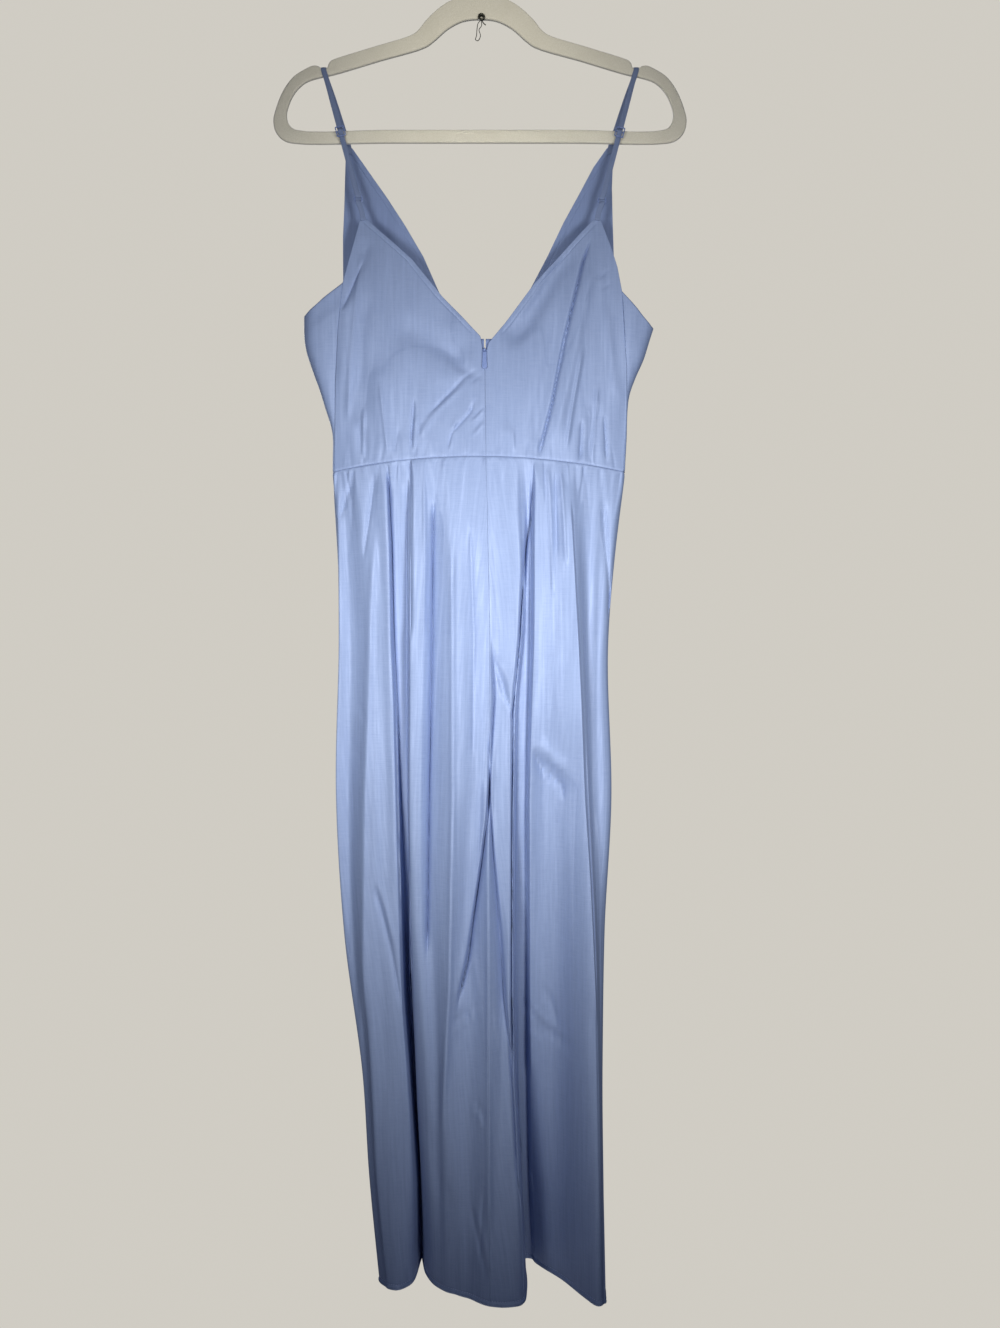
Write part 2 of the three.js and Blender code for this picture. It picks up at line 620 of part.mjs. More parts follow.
// Points half way round a bar of a fitting, from one side of it to the other.
function bend(centre, radius, from, to, steps) {
  const points = [];
  for (let k = 0; k <= steps; k += 1) {
    const a = THREE.MathUtils.degToRad(lerp(from, to, k / steps));
    points.push(new THREE.Vector3(
      centre.x, centre.y + radius * Math.cos(a), centre.z + radius * Math.sin(a)));
  }
  return points;
}

// One strap: up from the front's tip behind the bar, over the notch, down in front through the
// slider to the ring, round the ring and back up to the slider's middle bar.
function strap({ notch, tip, ring: hoop }) {
  const clear = HANGER_THICK / 2 + STRAP_THICK / 2 + SEAM_GAP;
  const xOn = (end, z) => lerp(notch[0], end[0], (z - notch[1]) / (end[1] - notch[1]));
  const down = (y, z) => new THREE.Vector3(xOn(hoop, z), y, z);
  const behindBar = (y, z) => new THREE.Vector3(xOn(tip, z), y, z);
  const sliderZ = lerp(notch[1], hoop[1], SLIDER_SHARE);
  const pitch = (SLIDER.height - SLIDER.bar) / 2;
  const weave = SLIDER.thick / 2 + SEAM_GAP + STRAP_THICK / 2 + 0.5;
  const woven = [];
  for (let k = -6; k <= 6; k += 1) {
    const turn = Math.cos((Math.PI * k) / 6);
    woven.push(down(SLIDER_Y - weave * turn, sliderZ - (k / 6) * pitch));
  }
  const wrap = RING_WIRE + SEAM_GAP + STRAP_THICK / 2 + 0.15;
  const ringTop = hoop[1] + Math.sqrt(RING_RADIUS ** 2 - (STRAP_WIDTH / 2) ** 2);
  const overRing = new THREE.Vector3(hoop[0], RING_Y, ringTop);
  const overNotch = new THREE.Vector3(notch[0], 0, notch[1] - 1.9);
  const behind = STRAP_THICK + SEAM_GAP + 0.1;
  return ribbon([
    new THREE.Vector3(tip[0], frontY(tip[0], tip[1]) - STRAP_THICK / 2, tip[1] + 2 * SEAM_GAP),
    behindBar(clear + 2.4, -236),
    behindBar(clear + 1.2, -224),
    behindBar(clear + 0.4, -190),
    ...bend(overNotch, clear, 0, 180, 8),
    down(-clear - 0.6, -176),
    down(-clear - 1.6, -200),
    ...woven,
    down(SLIDER_Y + weave - 1.6, -255),
    down(SLIDER_Y + weave - 2.8, -275),
    down(RING_Y - wrap + 0.3, ringTop + 6),
    ...bend(overRing, wrap, 180, 360, 6),
    down(RING_Y + wrap - 0.2, ringTop + 6),
    down(SLIDER_Y + weave - 2.8 + behind + 0.6, -275),
    down(SLIDER_Y + weave - 1.6 + behind, -255),
    down(SLIDER_Y + weave + behind, sliderZ - pitch),
    down(SLIDER_Y + weave + 0.5, sliderZ - pitch / 2),
    down(SLIDER_Y + weave, sliderZ),
  ], STRAP_WIDTH, STRAP_THICK);
}

// The wire figure-of-eight that sets the strap's length.
function slider({ notch, ring: hoop }) {
  const { width, height, thick, bar } = SLIDER;
  const rectangle = (w, h, z) => [
    [-w / 2, z - h / 2], [w / 2, z - h / 2], [w / 2, z + h / 2], [-w / 2, z + h / 2],
  ].map(([x, y]) => new THREE.Vector2(x, y));
  const shape = new THREE.Shape(rectangle(width, height, 0));
  const window = (height - 3 * bar) / 2;
  for (const up of [-1, 1]) {
    const z = (up * (window + bar)) / 2;
    shape.holes.push(new THREE.Path(rectangle(width - 2 * bar, window, z).reverse()));
  }
  const geometry = new THREE.ExtrudeGeometry(shape, { depth: thick, bevelEnabled: false });
  const lean = Math.atan2(hoop[0] - notch[0], notch[1] - hoop[1]);
  return geometry.translate(0, 0, -thick / 2).rotateX(Math.PI / 2).rotateY(-lean).translate(
    lerp(notch[0], hoop[0], SLIDER_SHARE), SLIDER_Y, lerp(notch[1], hoop[1], SLIDER_SHARE));
}

function ring({ ring: [x, z] }) {
  return new THREE.TorusGeometry(RING_RADIUS, RING_WIRE, 6, 16)
    .rotateX(Math.PI / 2).translate(x, RING_Y, z);
}

// The short loop that holds the ring to the top of the back.
function tab({ ring: hoop, peak }) {
  const wrap = RING_WIRE + SEAM_GAP + STRAP_THICK / 2 + 0.15;
  const ringFoot = hoop[1] - Math.sqrt(RING_RADIUS ** 2 - (STRAP_WIDTH / 2) ** 2);
  const foot = backY(peak[0], peak[1]) + CLOTH / 2;
  const stand = (STRAP_THICK + SEAM_GAP) / 2;
  const low = (y) => new THREE.Vector3(peak[0], foot + y, peak[1] + 3 * SEAM_GAP);
  const middle = (y) => new THREE.Vector3(
    lerp(peak[0], hoop[0], 0.4), foot + y, lerp(peak[1], ringFoot, 0.5));
  return ribbon([
    low(-stand),
    middle(-stand - 0.3),
    ...bend(new THREE.Vector3(hoop[0], RING_Y, ringFoot), wrap, 180, 0, 6),
    middle(stand + 0.3),
    low(stand),
  ], STRAP_WIDTH - 0.6, STRAP_THICK);
}

// Zip

// The outer face of the back at a point beside the zip, on the bodice or on the skirt.
function zipFace(offset, z) {
  if (z > SKIRT_LEVELS[0]) {
    const x = edgeX(HALVES.left.neck, Math.min(z, -484)) + offset;
    return new THREE.Vector3(x, backY(x, z), z);
  }
  const section = skirtSection(z);
  const seam = foldNumber('centre_seam');
  const middle = section(seam);
  const side = section(seam + Math.sign(offset) * 0.6);
  const share = offset ? Math.abs(offset) / Math.abs(side.x - middle.x) : 0;
  const p = section(seam + Math.sign(offset) * 0.6 * share);
  p.z = z;
  return p;
}

// The two tapes with their closed chain, on the inside of the back.
function zipTape() {
  const rows = 16;
  const top = PULL_AXIS.z - 14;
  const face = sheet(4, rows, (i, j) => {
    const offset = (i / 4 - 0.5) * TAPE_WIDTH;
    return zipFace(offset, lerp(ZIP_END_Z, top, j / rows));
  });
  const [out] = normalsOf([face]);
  const behind = -(CLOTH + 2 * SEAM_GAP);
  const points = face.points.map((p, k) => p.clone().addScaledVector(out[k], behind));
  return wall({ points, faces: face.faces }, out, CLOTH);
}

const pullY = () => backY(PULL_AXIS.x, PULL_AXIS.z) - PULL.eye;

// The slider behind the opening's foot, with a ring on a stem that comes out between the edges.
function zipSlider() {
  const { eye, ring: rim } = PULL;
  const width = 1.4;
  const profile = new THREE.Shape();
  profile.absarc(0, 0, rim, 0, 2 * Math.PI, false);
  const hole = new THREE.Path();
  hole.absarc(0, 0, eye, 0, 2 * Math.PI, true);
  profile.holes.push(hole);
  const eyelet = new THREE.ExtrudeGeometry(profile, {
    depth: width, bevelEnabled: false, curveSegments: 8,
  });
  eyelet.translate(0, 0, -width / 2).rotateY(Math.PI / 2);
  const stemLength = 4.6;
  const stem = new THREE.BoxGeometry(width, stemLength, 1.8)
    .translate(0, rim - 0.5 + stemLength / 2, 0);
  const body = new THREE.BoxGeometry(5.6, 2.4, 9)
    .translate(0, rim + stemLength + 0.2, -1.5);
  const whole = solid(eyelet.rotateX(Math.PI / 2)).add(solid(stem)).add(solid(body));
  return fromSolid(whole).translate(PULL_AXIS.x, pullY(), PULL_AXIS.z);
}

// The drop-shaped pull. Its top bar lies in the slider's eyelet, along X, and it hangs down
// against the cloth.
function zipPull() {
  const { length, width, thick, bar, ring: rim, tilt } = PULL;
  const windowWide = 2.4;
  const windowLow = -(rim + 0.4);
  const outline = new THREE.Shape();
  outline.moveTo(-2.2, bar);
  outline.lineTo(-2.2, windowLow - 1);
  outline.quadraticCurveTo(-2, -8, -width / 2, -length + width * 0.6);
  outline.quadraticCurveTo(-width / 2, -length, 0, -length);
  outline.quadraticCurveTo(width / 2, -length, width / 2, -length + width * 0.6);
  outline.quadraticCurveTo(2, -8, 2.2, windowLow - 1);
  outline.lineTo(2.2, bar);
  outline.closePath();
  const window = new THREE.Path();
  window.moveTo(-windowWide / 2, -bar);
  window.lineTo(windowWide / 2, -bar);
  window.lineTo(windowWide / 2, windowLow);
  window.lineTo(-windowWide / 2, windowLow);
  window.closePath();
  outline.holes.push(window);
  const geometry = new THREE.ExtrudeGeometry(outline, {
    depth: thick, bevelEnabled: false, curveSegments: 5,
  });
  geometry.translate(0, 0, -thick / 2).rotateX(Math.PI / 2);
  geometry.rotateX(-THREE.MathUtils.degToRad(tilt));
  return geometry.translate(PULL_AXIS.x, pullY(), PULL_AXIS.z);
}

// The whole dress

const dress = new THREE.Group();

function hangerGroup() {
  const group = new THREE.Group();
  group.add(
    piece('hanger_frame', hangerFrame(), 'velvet'),
    piece('hanger_hook', hook(), 'steel'),
    piece('hanger_collar', collar(), 'steel'));
  return group;
}

function bodiceGroup() {
  const group = new THREE.Group();
  const { left, right } = HALVES;
  const walls = panelWalls([
    backBodice(left), backBodice(right), frontBodice(left), frontBodice(right),
  ]);
  ['back_left', 'back_right', 'front_left', 'front_right'].forEach((name, k) => {
    group.add(piece(`bodice_${name}`, walls[k], 'satin'));
  });
  return group;
}

function skirtGroup() {
  const group = new THREE.Group();
  const centre = foldNumber('centre_seam');
  const side = foldNumber('right_seam');
  const walls = panelWalls([
    skirtPanel(0, centre, BACK_STEPS),
    skirtPanel(centre, side, BACK_STEPS),
    skirtPanel(side, FOLDS.length, FRONT_STEPS),
  ]);
  ['back_left', 'back_right', 'front'].forEach((name, k) => {
    group.add(piece(`skirt_${name}`, walls[k], 'satin'));
  });
  return group;
}

function strapGroup() {
  const group = new THREE.Group();
  for (const [side, places] of Object.entries(STRAPS)) {
    group.add(
      piece(`strap_${side}`, strap(places), 'satin'),
      piece(`strap_slider_${side}`, slider(places), 'fitting'),
      piece(`strap_ring_${side}`, ring(places), 'fitting'),
      piece(`strap_tab_${side}`, tab(places), 'satin'));
  }
  return group;
}

function zipGroup() {
  const group = new THREE.Group();
  group.add(
    piece('zip_tape', zipTape(), 'satin'),
    piece('zip_slider', zipSlider(), 'fitting'),
    piece('zip_pull', zipPull(), 'fitting'));
  return group;
}

dress.add(hangerGroup(), bodiceGroup(), skirtGroup(), strapGroup(), zipGroup());

export default dress;
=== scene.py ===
"""A periwinkle satin maxi dress, hung by its straps on a slim ivory hanger.

Cloth shells are worked out from the same sizes as the solid part, in millimetres, and turned
into metres as each mesh is made.
"""

import json
import math

import bmesh
import bpy
import numpy as np
from mathutils import Matrix, Vector
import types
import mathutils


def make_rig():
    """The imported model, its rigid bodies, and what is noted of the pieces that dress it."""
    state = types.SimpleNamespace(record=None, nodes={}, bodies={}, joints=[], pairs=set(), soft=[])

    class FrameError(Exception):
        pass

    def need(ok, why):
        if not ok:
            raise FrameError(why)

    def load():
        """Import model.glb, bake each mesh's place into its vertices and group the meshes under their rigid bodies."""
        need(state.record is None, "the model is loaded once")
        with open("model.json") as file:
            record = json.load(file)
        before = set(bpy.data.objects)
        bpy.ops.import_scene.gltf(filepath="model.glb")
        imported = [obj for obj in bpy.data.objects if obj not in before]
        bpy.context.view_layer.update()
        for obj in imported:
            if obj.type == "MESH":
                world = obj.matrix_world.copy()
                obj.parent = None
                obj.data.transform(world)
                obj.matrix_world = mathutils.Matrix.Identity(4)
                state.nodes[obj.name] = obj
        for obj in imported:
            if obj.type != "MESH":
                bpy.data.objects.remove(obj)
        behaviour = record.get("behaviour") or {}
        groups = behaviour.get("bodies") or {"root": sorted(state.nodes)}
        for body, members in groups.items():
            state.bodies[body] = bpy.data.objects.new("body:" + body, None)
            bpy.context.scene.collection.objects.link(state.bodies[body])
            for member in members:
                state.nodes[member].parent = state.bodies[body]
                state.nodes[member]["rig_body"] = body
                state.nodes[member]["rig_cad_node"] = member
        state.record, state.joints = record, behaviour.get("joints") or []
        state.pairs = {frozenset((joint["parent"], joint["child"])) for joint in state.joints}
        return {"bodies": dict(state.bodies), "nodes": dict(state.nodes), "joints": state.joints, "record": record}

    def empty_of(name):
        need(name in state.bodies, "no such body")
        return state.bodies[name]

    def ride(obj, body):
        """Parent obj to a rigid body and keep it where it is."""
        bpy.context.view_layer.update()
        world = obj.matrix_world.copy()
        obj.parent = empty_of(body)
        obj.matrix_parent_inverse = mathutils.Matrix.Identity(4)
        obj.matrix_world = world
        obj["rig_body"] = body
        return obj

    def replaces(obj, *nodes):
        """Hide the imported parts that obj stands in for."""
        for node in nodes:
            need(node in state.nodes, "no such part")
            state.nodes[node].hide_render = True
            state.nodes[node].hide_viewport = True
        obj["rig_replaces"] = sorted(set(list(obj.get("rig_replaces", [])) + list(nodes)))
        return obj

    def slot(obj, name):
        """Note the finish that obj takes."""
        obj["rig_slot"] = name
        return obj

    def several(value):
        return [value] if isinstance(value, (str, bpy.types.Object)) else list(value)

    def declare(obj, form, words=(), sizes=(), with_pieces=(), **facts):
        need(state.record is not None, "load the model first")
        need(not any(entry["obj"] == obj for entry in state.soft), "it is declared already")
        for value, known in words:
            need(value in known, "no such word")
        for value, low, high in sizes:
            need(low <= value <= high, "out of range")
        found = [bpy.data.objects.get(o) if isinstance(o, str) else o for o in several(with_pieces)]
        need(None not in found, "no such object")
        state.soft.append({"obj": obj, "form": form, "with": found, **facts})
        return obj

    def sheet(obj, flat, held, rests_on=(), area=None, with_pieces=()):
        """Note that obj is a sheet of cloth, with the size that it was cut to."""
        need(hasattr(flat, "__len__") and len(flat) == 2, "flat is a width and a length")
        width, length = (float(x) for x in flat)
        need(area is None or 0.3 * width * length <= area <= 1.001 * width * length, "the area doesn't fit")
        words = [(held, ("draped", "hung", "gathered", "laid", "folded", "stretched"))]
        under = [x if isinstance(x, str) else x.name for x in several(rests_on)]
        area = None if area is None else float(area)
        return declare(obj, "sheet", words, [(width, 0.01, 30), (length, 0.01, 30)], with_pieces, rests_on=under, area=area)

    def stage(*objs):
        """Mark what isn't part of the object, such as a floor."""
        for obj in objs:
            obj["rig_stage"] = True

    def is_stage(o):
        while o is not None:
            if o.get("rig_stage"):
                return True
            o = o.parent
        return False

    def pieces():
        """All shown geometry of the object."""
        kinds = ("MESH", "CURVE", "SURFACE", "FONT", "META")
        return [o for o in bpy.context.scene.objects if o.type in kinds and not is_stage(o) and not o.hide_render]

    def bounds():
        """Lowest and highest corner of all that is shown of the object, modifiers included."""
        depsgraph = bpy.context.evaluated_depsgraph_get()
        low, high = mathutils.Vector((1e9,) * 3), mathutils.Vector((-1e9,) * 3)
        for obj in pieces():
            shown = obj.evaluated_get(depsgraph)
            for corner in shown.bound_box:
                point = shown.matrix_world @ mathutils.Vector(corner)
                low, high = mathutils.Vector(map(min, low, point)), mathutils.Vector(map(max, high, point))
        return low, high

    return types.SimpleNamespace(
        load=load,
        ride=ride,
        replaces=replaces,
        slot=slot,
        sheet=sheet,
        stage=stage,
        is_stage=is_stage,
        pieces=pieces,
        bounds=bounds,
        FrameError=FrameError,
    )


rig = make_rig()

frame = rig.load()
cad_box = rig.bounds()

MM = 0.001

# Camera

# The photograph was taken level, from 1.08 m in front of the dress. Its sizes are in pixels.
PHOTO_WIDTH = 1000
PHOTO_HEIGHT = 1328
FOCAL_LENGTH = 1000
SENSOR_MM = 36
CAMERA_AT = (0.02155, -1.0775, -0.801)

camera_data = bpy.data.cameras.new("camera")
camera_data.lens = SENSOR_MM * FOCAL_LENGTH / PHOTO_HEIGHT
camera_data.sensor_width = SENSOR_MM
camera_data.clip_end = 50
camera = bpy.data.objects.new("camera", camera_data)
camera.location = CAMERA_AT
camera.rotation_euler = (math.radians(90), 0, 0)
bpy.context.collection.objects.link(camera)
bpy.context.scene.camera = camera

# Sizes

CLOTH = 0.9
BODY = "dress"

WAIST_Z = -585
WAIST_SIDE_DROP = 10
HEM_Z = -1445
V_FOOT_Z = -455
FRONT_V = (5, -482)
ZIP_TOP_Z = -484
ZIP_END_Z = -725
WAIST_HALF = 157
WAIST_MIDDLE_X = -1.5
WAIST_SIDE_Y = 6
WAIST_BACK_BELLY = 34
WAIST_FRONT_BELLY = 24

# The bodice's depth at each height: y at its sides and at its middle
DEPTH_LEVELS = [-595, -520, -456, -400, -325, -240]
BACK_SIDE_Y = [-6, -9, -12, -12, -8, -6]
BACK_MIDDLE_Y = [-40, -33, -25, -20, -12, -6]
FRONT_SIDE_Y = [6, 10, 14, 15, 11, 7]
FRONT_MIDDLE_Y = [30, 36, 38, 32, 18, 7]

# Soft folds of the bodice: from x, z, to x, z, depth towards +Y, width. The back's are laid at
# a share of their depth.
BACK_FOLD_SHARE = 0.55
BACK_CREASES = [
    (108, -335, 22, -470, 5, 13),
    (100, -345, 52, -600, 4, 8),
    (122, -350, 76, -600, -4, 10),
    (-134, -372, -150, -520, -4, 9),
    (-118, -345, -146, -425, 4, 7),
    (-112, -470, -96, -600, -4, 9),
    (-96, -440, -6, -482, 5, 15),
    (-30, -500, -70, -575, 4, 12),
    (-128, -540, -118, -610, 4, 6),
    (-60, -545, -44, -610, -3, 6),
    (28, -545, 32, -610, -3, 6),
    (126, -520, 108, -610, 4, 7),
]
FRONT_CREASES = [
    (-132, -300, -70, -400, 4, 11),
    (128, -300, 96, -420, 4, 11),
    (-80, -440, -70, -600, -5, 12),
    (-120, -450, -104, -600, 5, 12),
    (60, -430, 66, -600, 5, 13),
    (110, -460, 104, -600, -5, 12),
]

# Each half's outlines, as (x, z) places upward. Its turn is 1 on the left and -1 on the right. The
# flap is how far the front folds round the side, at FLAP_STEPS of its height.
HALVES = {
    "left": {
        "turn": 1,
        "seam": [(-156, -595), (-155.5, -560), (-154, -500), (-151, -445), (-146, -395)],
        "back_armhole": [(-146, -395), (-140.4, -373), (-134, -350), (-127.5, -326)],
        "neck": [(7, -585), (6.2, -530), (5.6, -484), (3.4, -471), (1, -456), (-20, -433),
                 (-40, -412), (-72, -371), (-121, -326)],
        "front_armhole": [(-150, -386), (-149.5, -335), (-147.5, -296), (-145.5, -242)],
        "front_neck": [(-43, -396), (-63, -353), (-81, -324), (-101, -294), (-120, -268),
                       (-138.5, -242)],
        "flap": [2.5, 3, 15, 27, 39, 44],
        "fold_drop": 36,
    },
    "right": {
        "turn": -1,
        "seam": [(153.5, -595), (156, -560), (157.2, -520), (156.5, -480), (154, -440),
                 (151.5, -404)],
        "back_armhole": [(151.5, -404), (146.7, -378), (140.5, -357.7), (132.9, -337.5),
                         (128.5, -326)],
        "neck": [(7, -585), (6.2, -530), (5.6, -484), (7.4, -471), (9.5, -463), (27, -441),
                 (57, -399), (94, -356), (122, -326)],
        "front_armhole": [(147, -386), (144.4, -322), (143.1, -284), (144.5, -242)],
        "front_neck": [(50, -396), (74, -353), (91, -319), (107, -291), (123, -262),
                       (137.5, -242)],
        "flap": [2, 2, 2.5, 11, 24.5, 36],
        "fold_drop": 44,
    },
}
FLAP_STEPS = [0, 0.2, 0.42, 0.62, 0.82, 1]
# The flap's round section, as shares of the way out to its fold and of the way round
FLAP_SECTION = [(0, 0), (0.5, 0.12), (0.85, 0.4)]
ARMHOLE_Z = -400

# The skirt's fold lines: x at the waist, hip, thigh, knee, shin, ankle and hem, then y from the
# hip down. The back's run from the left seam to the right one, and the front's on round.
SKIRT_LEVELS = [-590, -776, -941, -1085, -1225, -1335, HEM_Z]
BACK_FOLDS = [
    ("left_seam", [-156, -149, -151, -142, -122.5, -114.5, -103], [-8, -10, -14, -18, -22, -26]),
    ("left_edge", [-152, -149.5, -152.5, -143, -123.5, -115.5, -104],
     [-15, -16, -20, -26, -31, -35]),
    ("left_dip", [-146, -137, -139, -133, -117, -110, -98], [-15, -17, -24, -31, -37, -43]),
    ("left_ridge", [-132, -115, -119, -121.5, -112, -104, -93], [-27, -32, -36, -40, -43, -47]),
    ("left_face", [-114, -103, -103, -101, -95, -90, -82], [-31, -34, -38, -42, -46, -49]),
    ("left_lobe_edge", [-97, -92, -86, -80, -74, -70, -70], [-33, -35, -38, -40, -40, -38]),
    ("left_recess", [-86, -82.5, -79.5, -75.5, -69.5, -64.5, -63], [-17, -14, -10, -6, -1, 4]),
    ("left_pleat_edge", [-74, -72.5, -72.5, -71, -65, -60, -57], [-41, -44, -44, -39, -32, -20]),
    ("left_pleat_face", [-61, -60, -61, -61, -56, -51, -47], [-46, -50, -51, -50, -47, -39]),
    ("left_pleat_step", [-48, -48, -51, -49, -45, -41, -37], [-41, -44, -49, -52, -52, -50]),
    ("middle_ridge", [-28, -27, -27, -29.5, -33, -30, -22], [-51, -56, -60, -60, -59, -57]),
    ("middle_valley", [-9, -6, 0, -7, -14, -11, -9], [-45, -46, -49, -54, -60, -64]),
    ("centre_seam", [7, 11, 9.5, 9.5, 9.5, 10.5, 11.5], [-46, -49, -58, -64, -70, -75]),
    ("centre_line", [22, 24, 17, 22, 24, 25, 28], [-43, -44, -50, -59, -68, -77]),
    ("centre_edge", [38, 43, 34, 34, 34.5, 40, 44], [-43, -45, -53, -61, -70, -73]),
    ("centre_turn", [43, 47.5, 38.5, 38.5, 39, 44, 49], [-35, -34, -39, -43, -48, -52]),
    ("centre_recess", [49, 51.5, 45, 43.5, 43.5, 46.5, 50], [-29, -24, -17, -9, 0, 9]),
    ("right_pleat_edge", [56, 57, 52, 52, 54, 58, 63], [-43, -39, -30, -22, -15, -9]),
    ("right_face", [72, 73, 70, 70, 73, 78, 84], [-44, -41, -36, -34, -38, -42]),
    ("right_ridge", [86, 90, 93, 98, 101, 103, 106], [-48, -51, -55, -59, -64, -69]),
    ("right_pleat_fold", [97, 103, 110, 117, 120, 120, 119], [-45, -48, -55, -63, -71, -77]),
    ("right_recess", [110, 113, 119, 123.5, 125, 125.5, 126.5], [-28, -30, -38, -49, -61, -73]),
    ("right_edge", [149, 134, 138, 130, 127.5, 128, 128.5], [-17, -19, -27, -38, -50, -62]),
    ("right_seam", [153.5, 137, 141, 132.5, 129.5, 129.5, 129], [-8, -8, -15, -24, -34, -46]),
]
FRONT_FOLDS = [
    ("right_side", [155.5, 137, 141, 132, 128.5, 127.5, 126], [2, 2, -1, -6, -13, -22]),
    ("right_turn", [149, 130, 133, 125, 121, 119, 116], [12, 13, 13, 11, 7, 2]),
    ("front_crest_1", [131, 113, 110, 104, 99, 96, 92], [22, 28, 33, 36, 33, 28]),
    ("front_dip_1", [107, 93, 87, 82, 79, 77, 74], [23, 22, 22, 22, 22, 21]),
    ("front_crest_2", [88, 76, 69, 65, 61, 59, 57], [29, 33, 38, 44, 48, 50]),
    ("front_dip_2", [52, 46, 43, 42, 41, 40, 38], [27, 28, 28, 27, 26, 25]),
    ("front_crest_3", [22, 25, 26, 25, 23, 22, 21], [39, 46, 49, 53, 56, 58]),
    ("front_dip_3", [-8, 0, 3, 4, 4, 4, 3], [31, 31, 30, 31, 34, 38]),
    ("front_crest_4", [-24, -17, -12, -11, -11, -12, -12], [36, 42, 47, 53, 57, 58]),
    ("front_dip_4", [-63, -52, -45, -41, -37, -35, -34], [25, 24, 22, 20, 19, 18]),
    ("front_crest_5", [-92, -78, -71, -66, -61, -58, -54], [35, 42, 47, 51, 52, 51]),
    ("front_dip_5", [-116, -101, -96, -89, -80, -77, -73], [21, 22, 23, 25, 26, 26]),
    ("front_crest_6", [-134, -121, -119, -111, -99, -94, -87], [20, 24, 27, 28, 27, 24]),
    ("left_turn", [-152, -142, -143, -134, -116, -108, -98], [12, 13, 11, 9, 7, 4]),
    ("left_side", [-158.5, -149.5, -152, -142.5, -123, -114.5, -103], [3, 2, -1, -5, -8, -13]),
]
FOLDS = BACK_FOLDS + FRONT_FOLDS
FOLD_NUMBER = {fold[0]: k for k, fold in enumerate(FOLDS)}

# Where each strap passes, as (x, z) places
STRAPS = {
    "left": {"notch": (-168, -160.5), "tip": (-142, -241.6), "ring": (-129.8, -304),
             "peak": (-124.3, -326)},
    "right": {"notch": (168, -160.5), "tip": (141, -241.6), "ring": (130.5, -306),
              "peak": (125.2, -326)},
}
STRAP_WIDTH = 6
STRAP_THICK = 1.0
SLIDER = {"width": 10, "height": 11.2, "thick": 1.2, "bar": 1.2}
RING_Y = -9
RING_RADIUS = 4.2
RING_WIRE = 0.8
SLIDER_SHARE = 0.49
SLIDER_Y = -7.6
HANGER_THICK = 5
SEAM_GAP = 0.3

# Curves and grids


def smooth(t):
    t = np.clip(t, 0, 1)
    return t * t * (3 - 2 * t)


def lerp(a, b, t):
    return a + (b - a) * t


def through(knots, values, at):
    """A smooth curve through (knots, values), as the part's own."""
    k = np.asarray(knots, float)
    v = np.asarray(values, float)
    at = np.asarray(at, float)
    if k[-1] < k[0]:
        k, at = -k, -at
    slope = np.empty(len(k))
    slope[1:-1] = (v[2:] - v[:-2]) / (k[2:] - k[:-2])
    slope[0] = (v[1] - v[0]) / (k[1] - k[0])
    slope[-1] = (v[-1] - v[-2]) / (k[-1] - k[-2])
    i = np.clip(np.searchsorted(k, at, side="right") - 1, 0, len(k) - 2)
    h = k[i + 1] - k[i]
    t = np.clip((at - k[i]) / h, 0, 1)
    rise = v[i + 1] - v[i]
    a = slope[i] * h
    b = slope[i + 1] * h
    return v[i] + t * (a + t * (3 * rise - 2 * a - b + t * (a + b - 2 * rise)))


def edge_x(edge, z):
    """Where an outline of (x, z) places is at a height."""
    points = np.asarray(edge, float)
    return np.interp(z, points[:, 1], points[:, 0])


def rounded(points, at, closed):
    """Centripetal curve through points[..., k, axis] at the fractional indices `at`."""
    n = points.shape[-2]
    if closed:
        whole = np.floor(at).astype(int)
        part = at - whole
        index = [(whole + k) % n for k in (-1, 0, 1, 2)]
        p = [points[..., k, :] for k in index]
    else:
        whole = np.clip(np.floor(at).astype(int), 0, n - 2)
        part = at - whole
        padded = np.concatenate([
            2 * points[..., :1, :] - points[..., 1:2, :], points,
            2 * points[..., -1:, :] - points[..., -2:-1, :]], axis=-2)
        p = [padded[..., whole + k, :] for k in range(4)]
    part = part[..., None]
    gaps = [np.maximum(np.sqrt(np.linalg.norm(b - a, axis=-1, keepdims=True)), 1e-4)
            for a, b in zip(p, p[1:])]
    t1 = ((p[1] - p[0]) / gaps[0] - (p[2] - p[0]) / (gaps[0] + gaps[1])
          + (p[2] - p[1]) / gaps[1]) * gaps[1]
    t2 = ((p[2] - p[1]) / gaps[1] - (p[3] - p[1]) / (gaps[1] + gaps[2])
          + (p[3] - p[2]) / gaps[2]) * gaps[1]
    c2 = -3 * p[1] + 3 * p[2] - 2 * t1 - t2
    c3 = 2 * p[1] - 2 * p[2] + t1 + t2
    return p[1] + part * (t1 + part * (c2 + part * c3))


def recess(lines, points, sharp=3.0):
    """Lays the cloth between two lines seen from the camera at a depth, as a flat-bottomed fold."""
    across, down = seen_at(points)
    moved = points.copy()
    for line in lines:
        downs, lefts, rights, depths = np.array(line, float).T
        left, right, depth = (np.interp(down, downs, v) for v in (lefts, rights, depths))
        inside = smooth((across - left) / sharp) * smooth((right - across) / sharp)
        fade = smooth((down - downs[0]) / 40) * smooth((downs[-1] - down) / 120)
        moved[..., 1] = lerp(moved[..., 1], depth, inside * fade)
    return moved


def waves(a, b, count, across, along, seed):
    """Smooth seeded unevenness of about -1 to 1 over two coordinates in mm."""
    rng = np.random.RandomState(seed)
    total = np.zeros(np.broadcast(a, b).shape)
    for _ in range(count):
        ka = 2 * math.pi / rng.uniform(*across)
        kb = 2 * math.pi / rng.uniform(*along) * rng.choice([-1, 1])
        total += np.cos(ka * a + kb * b + rng.uniform(0, 2 * math.pi))
    return total / math.sqrt(count)


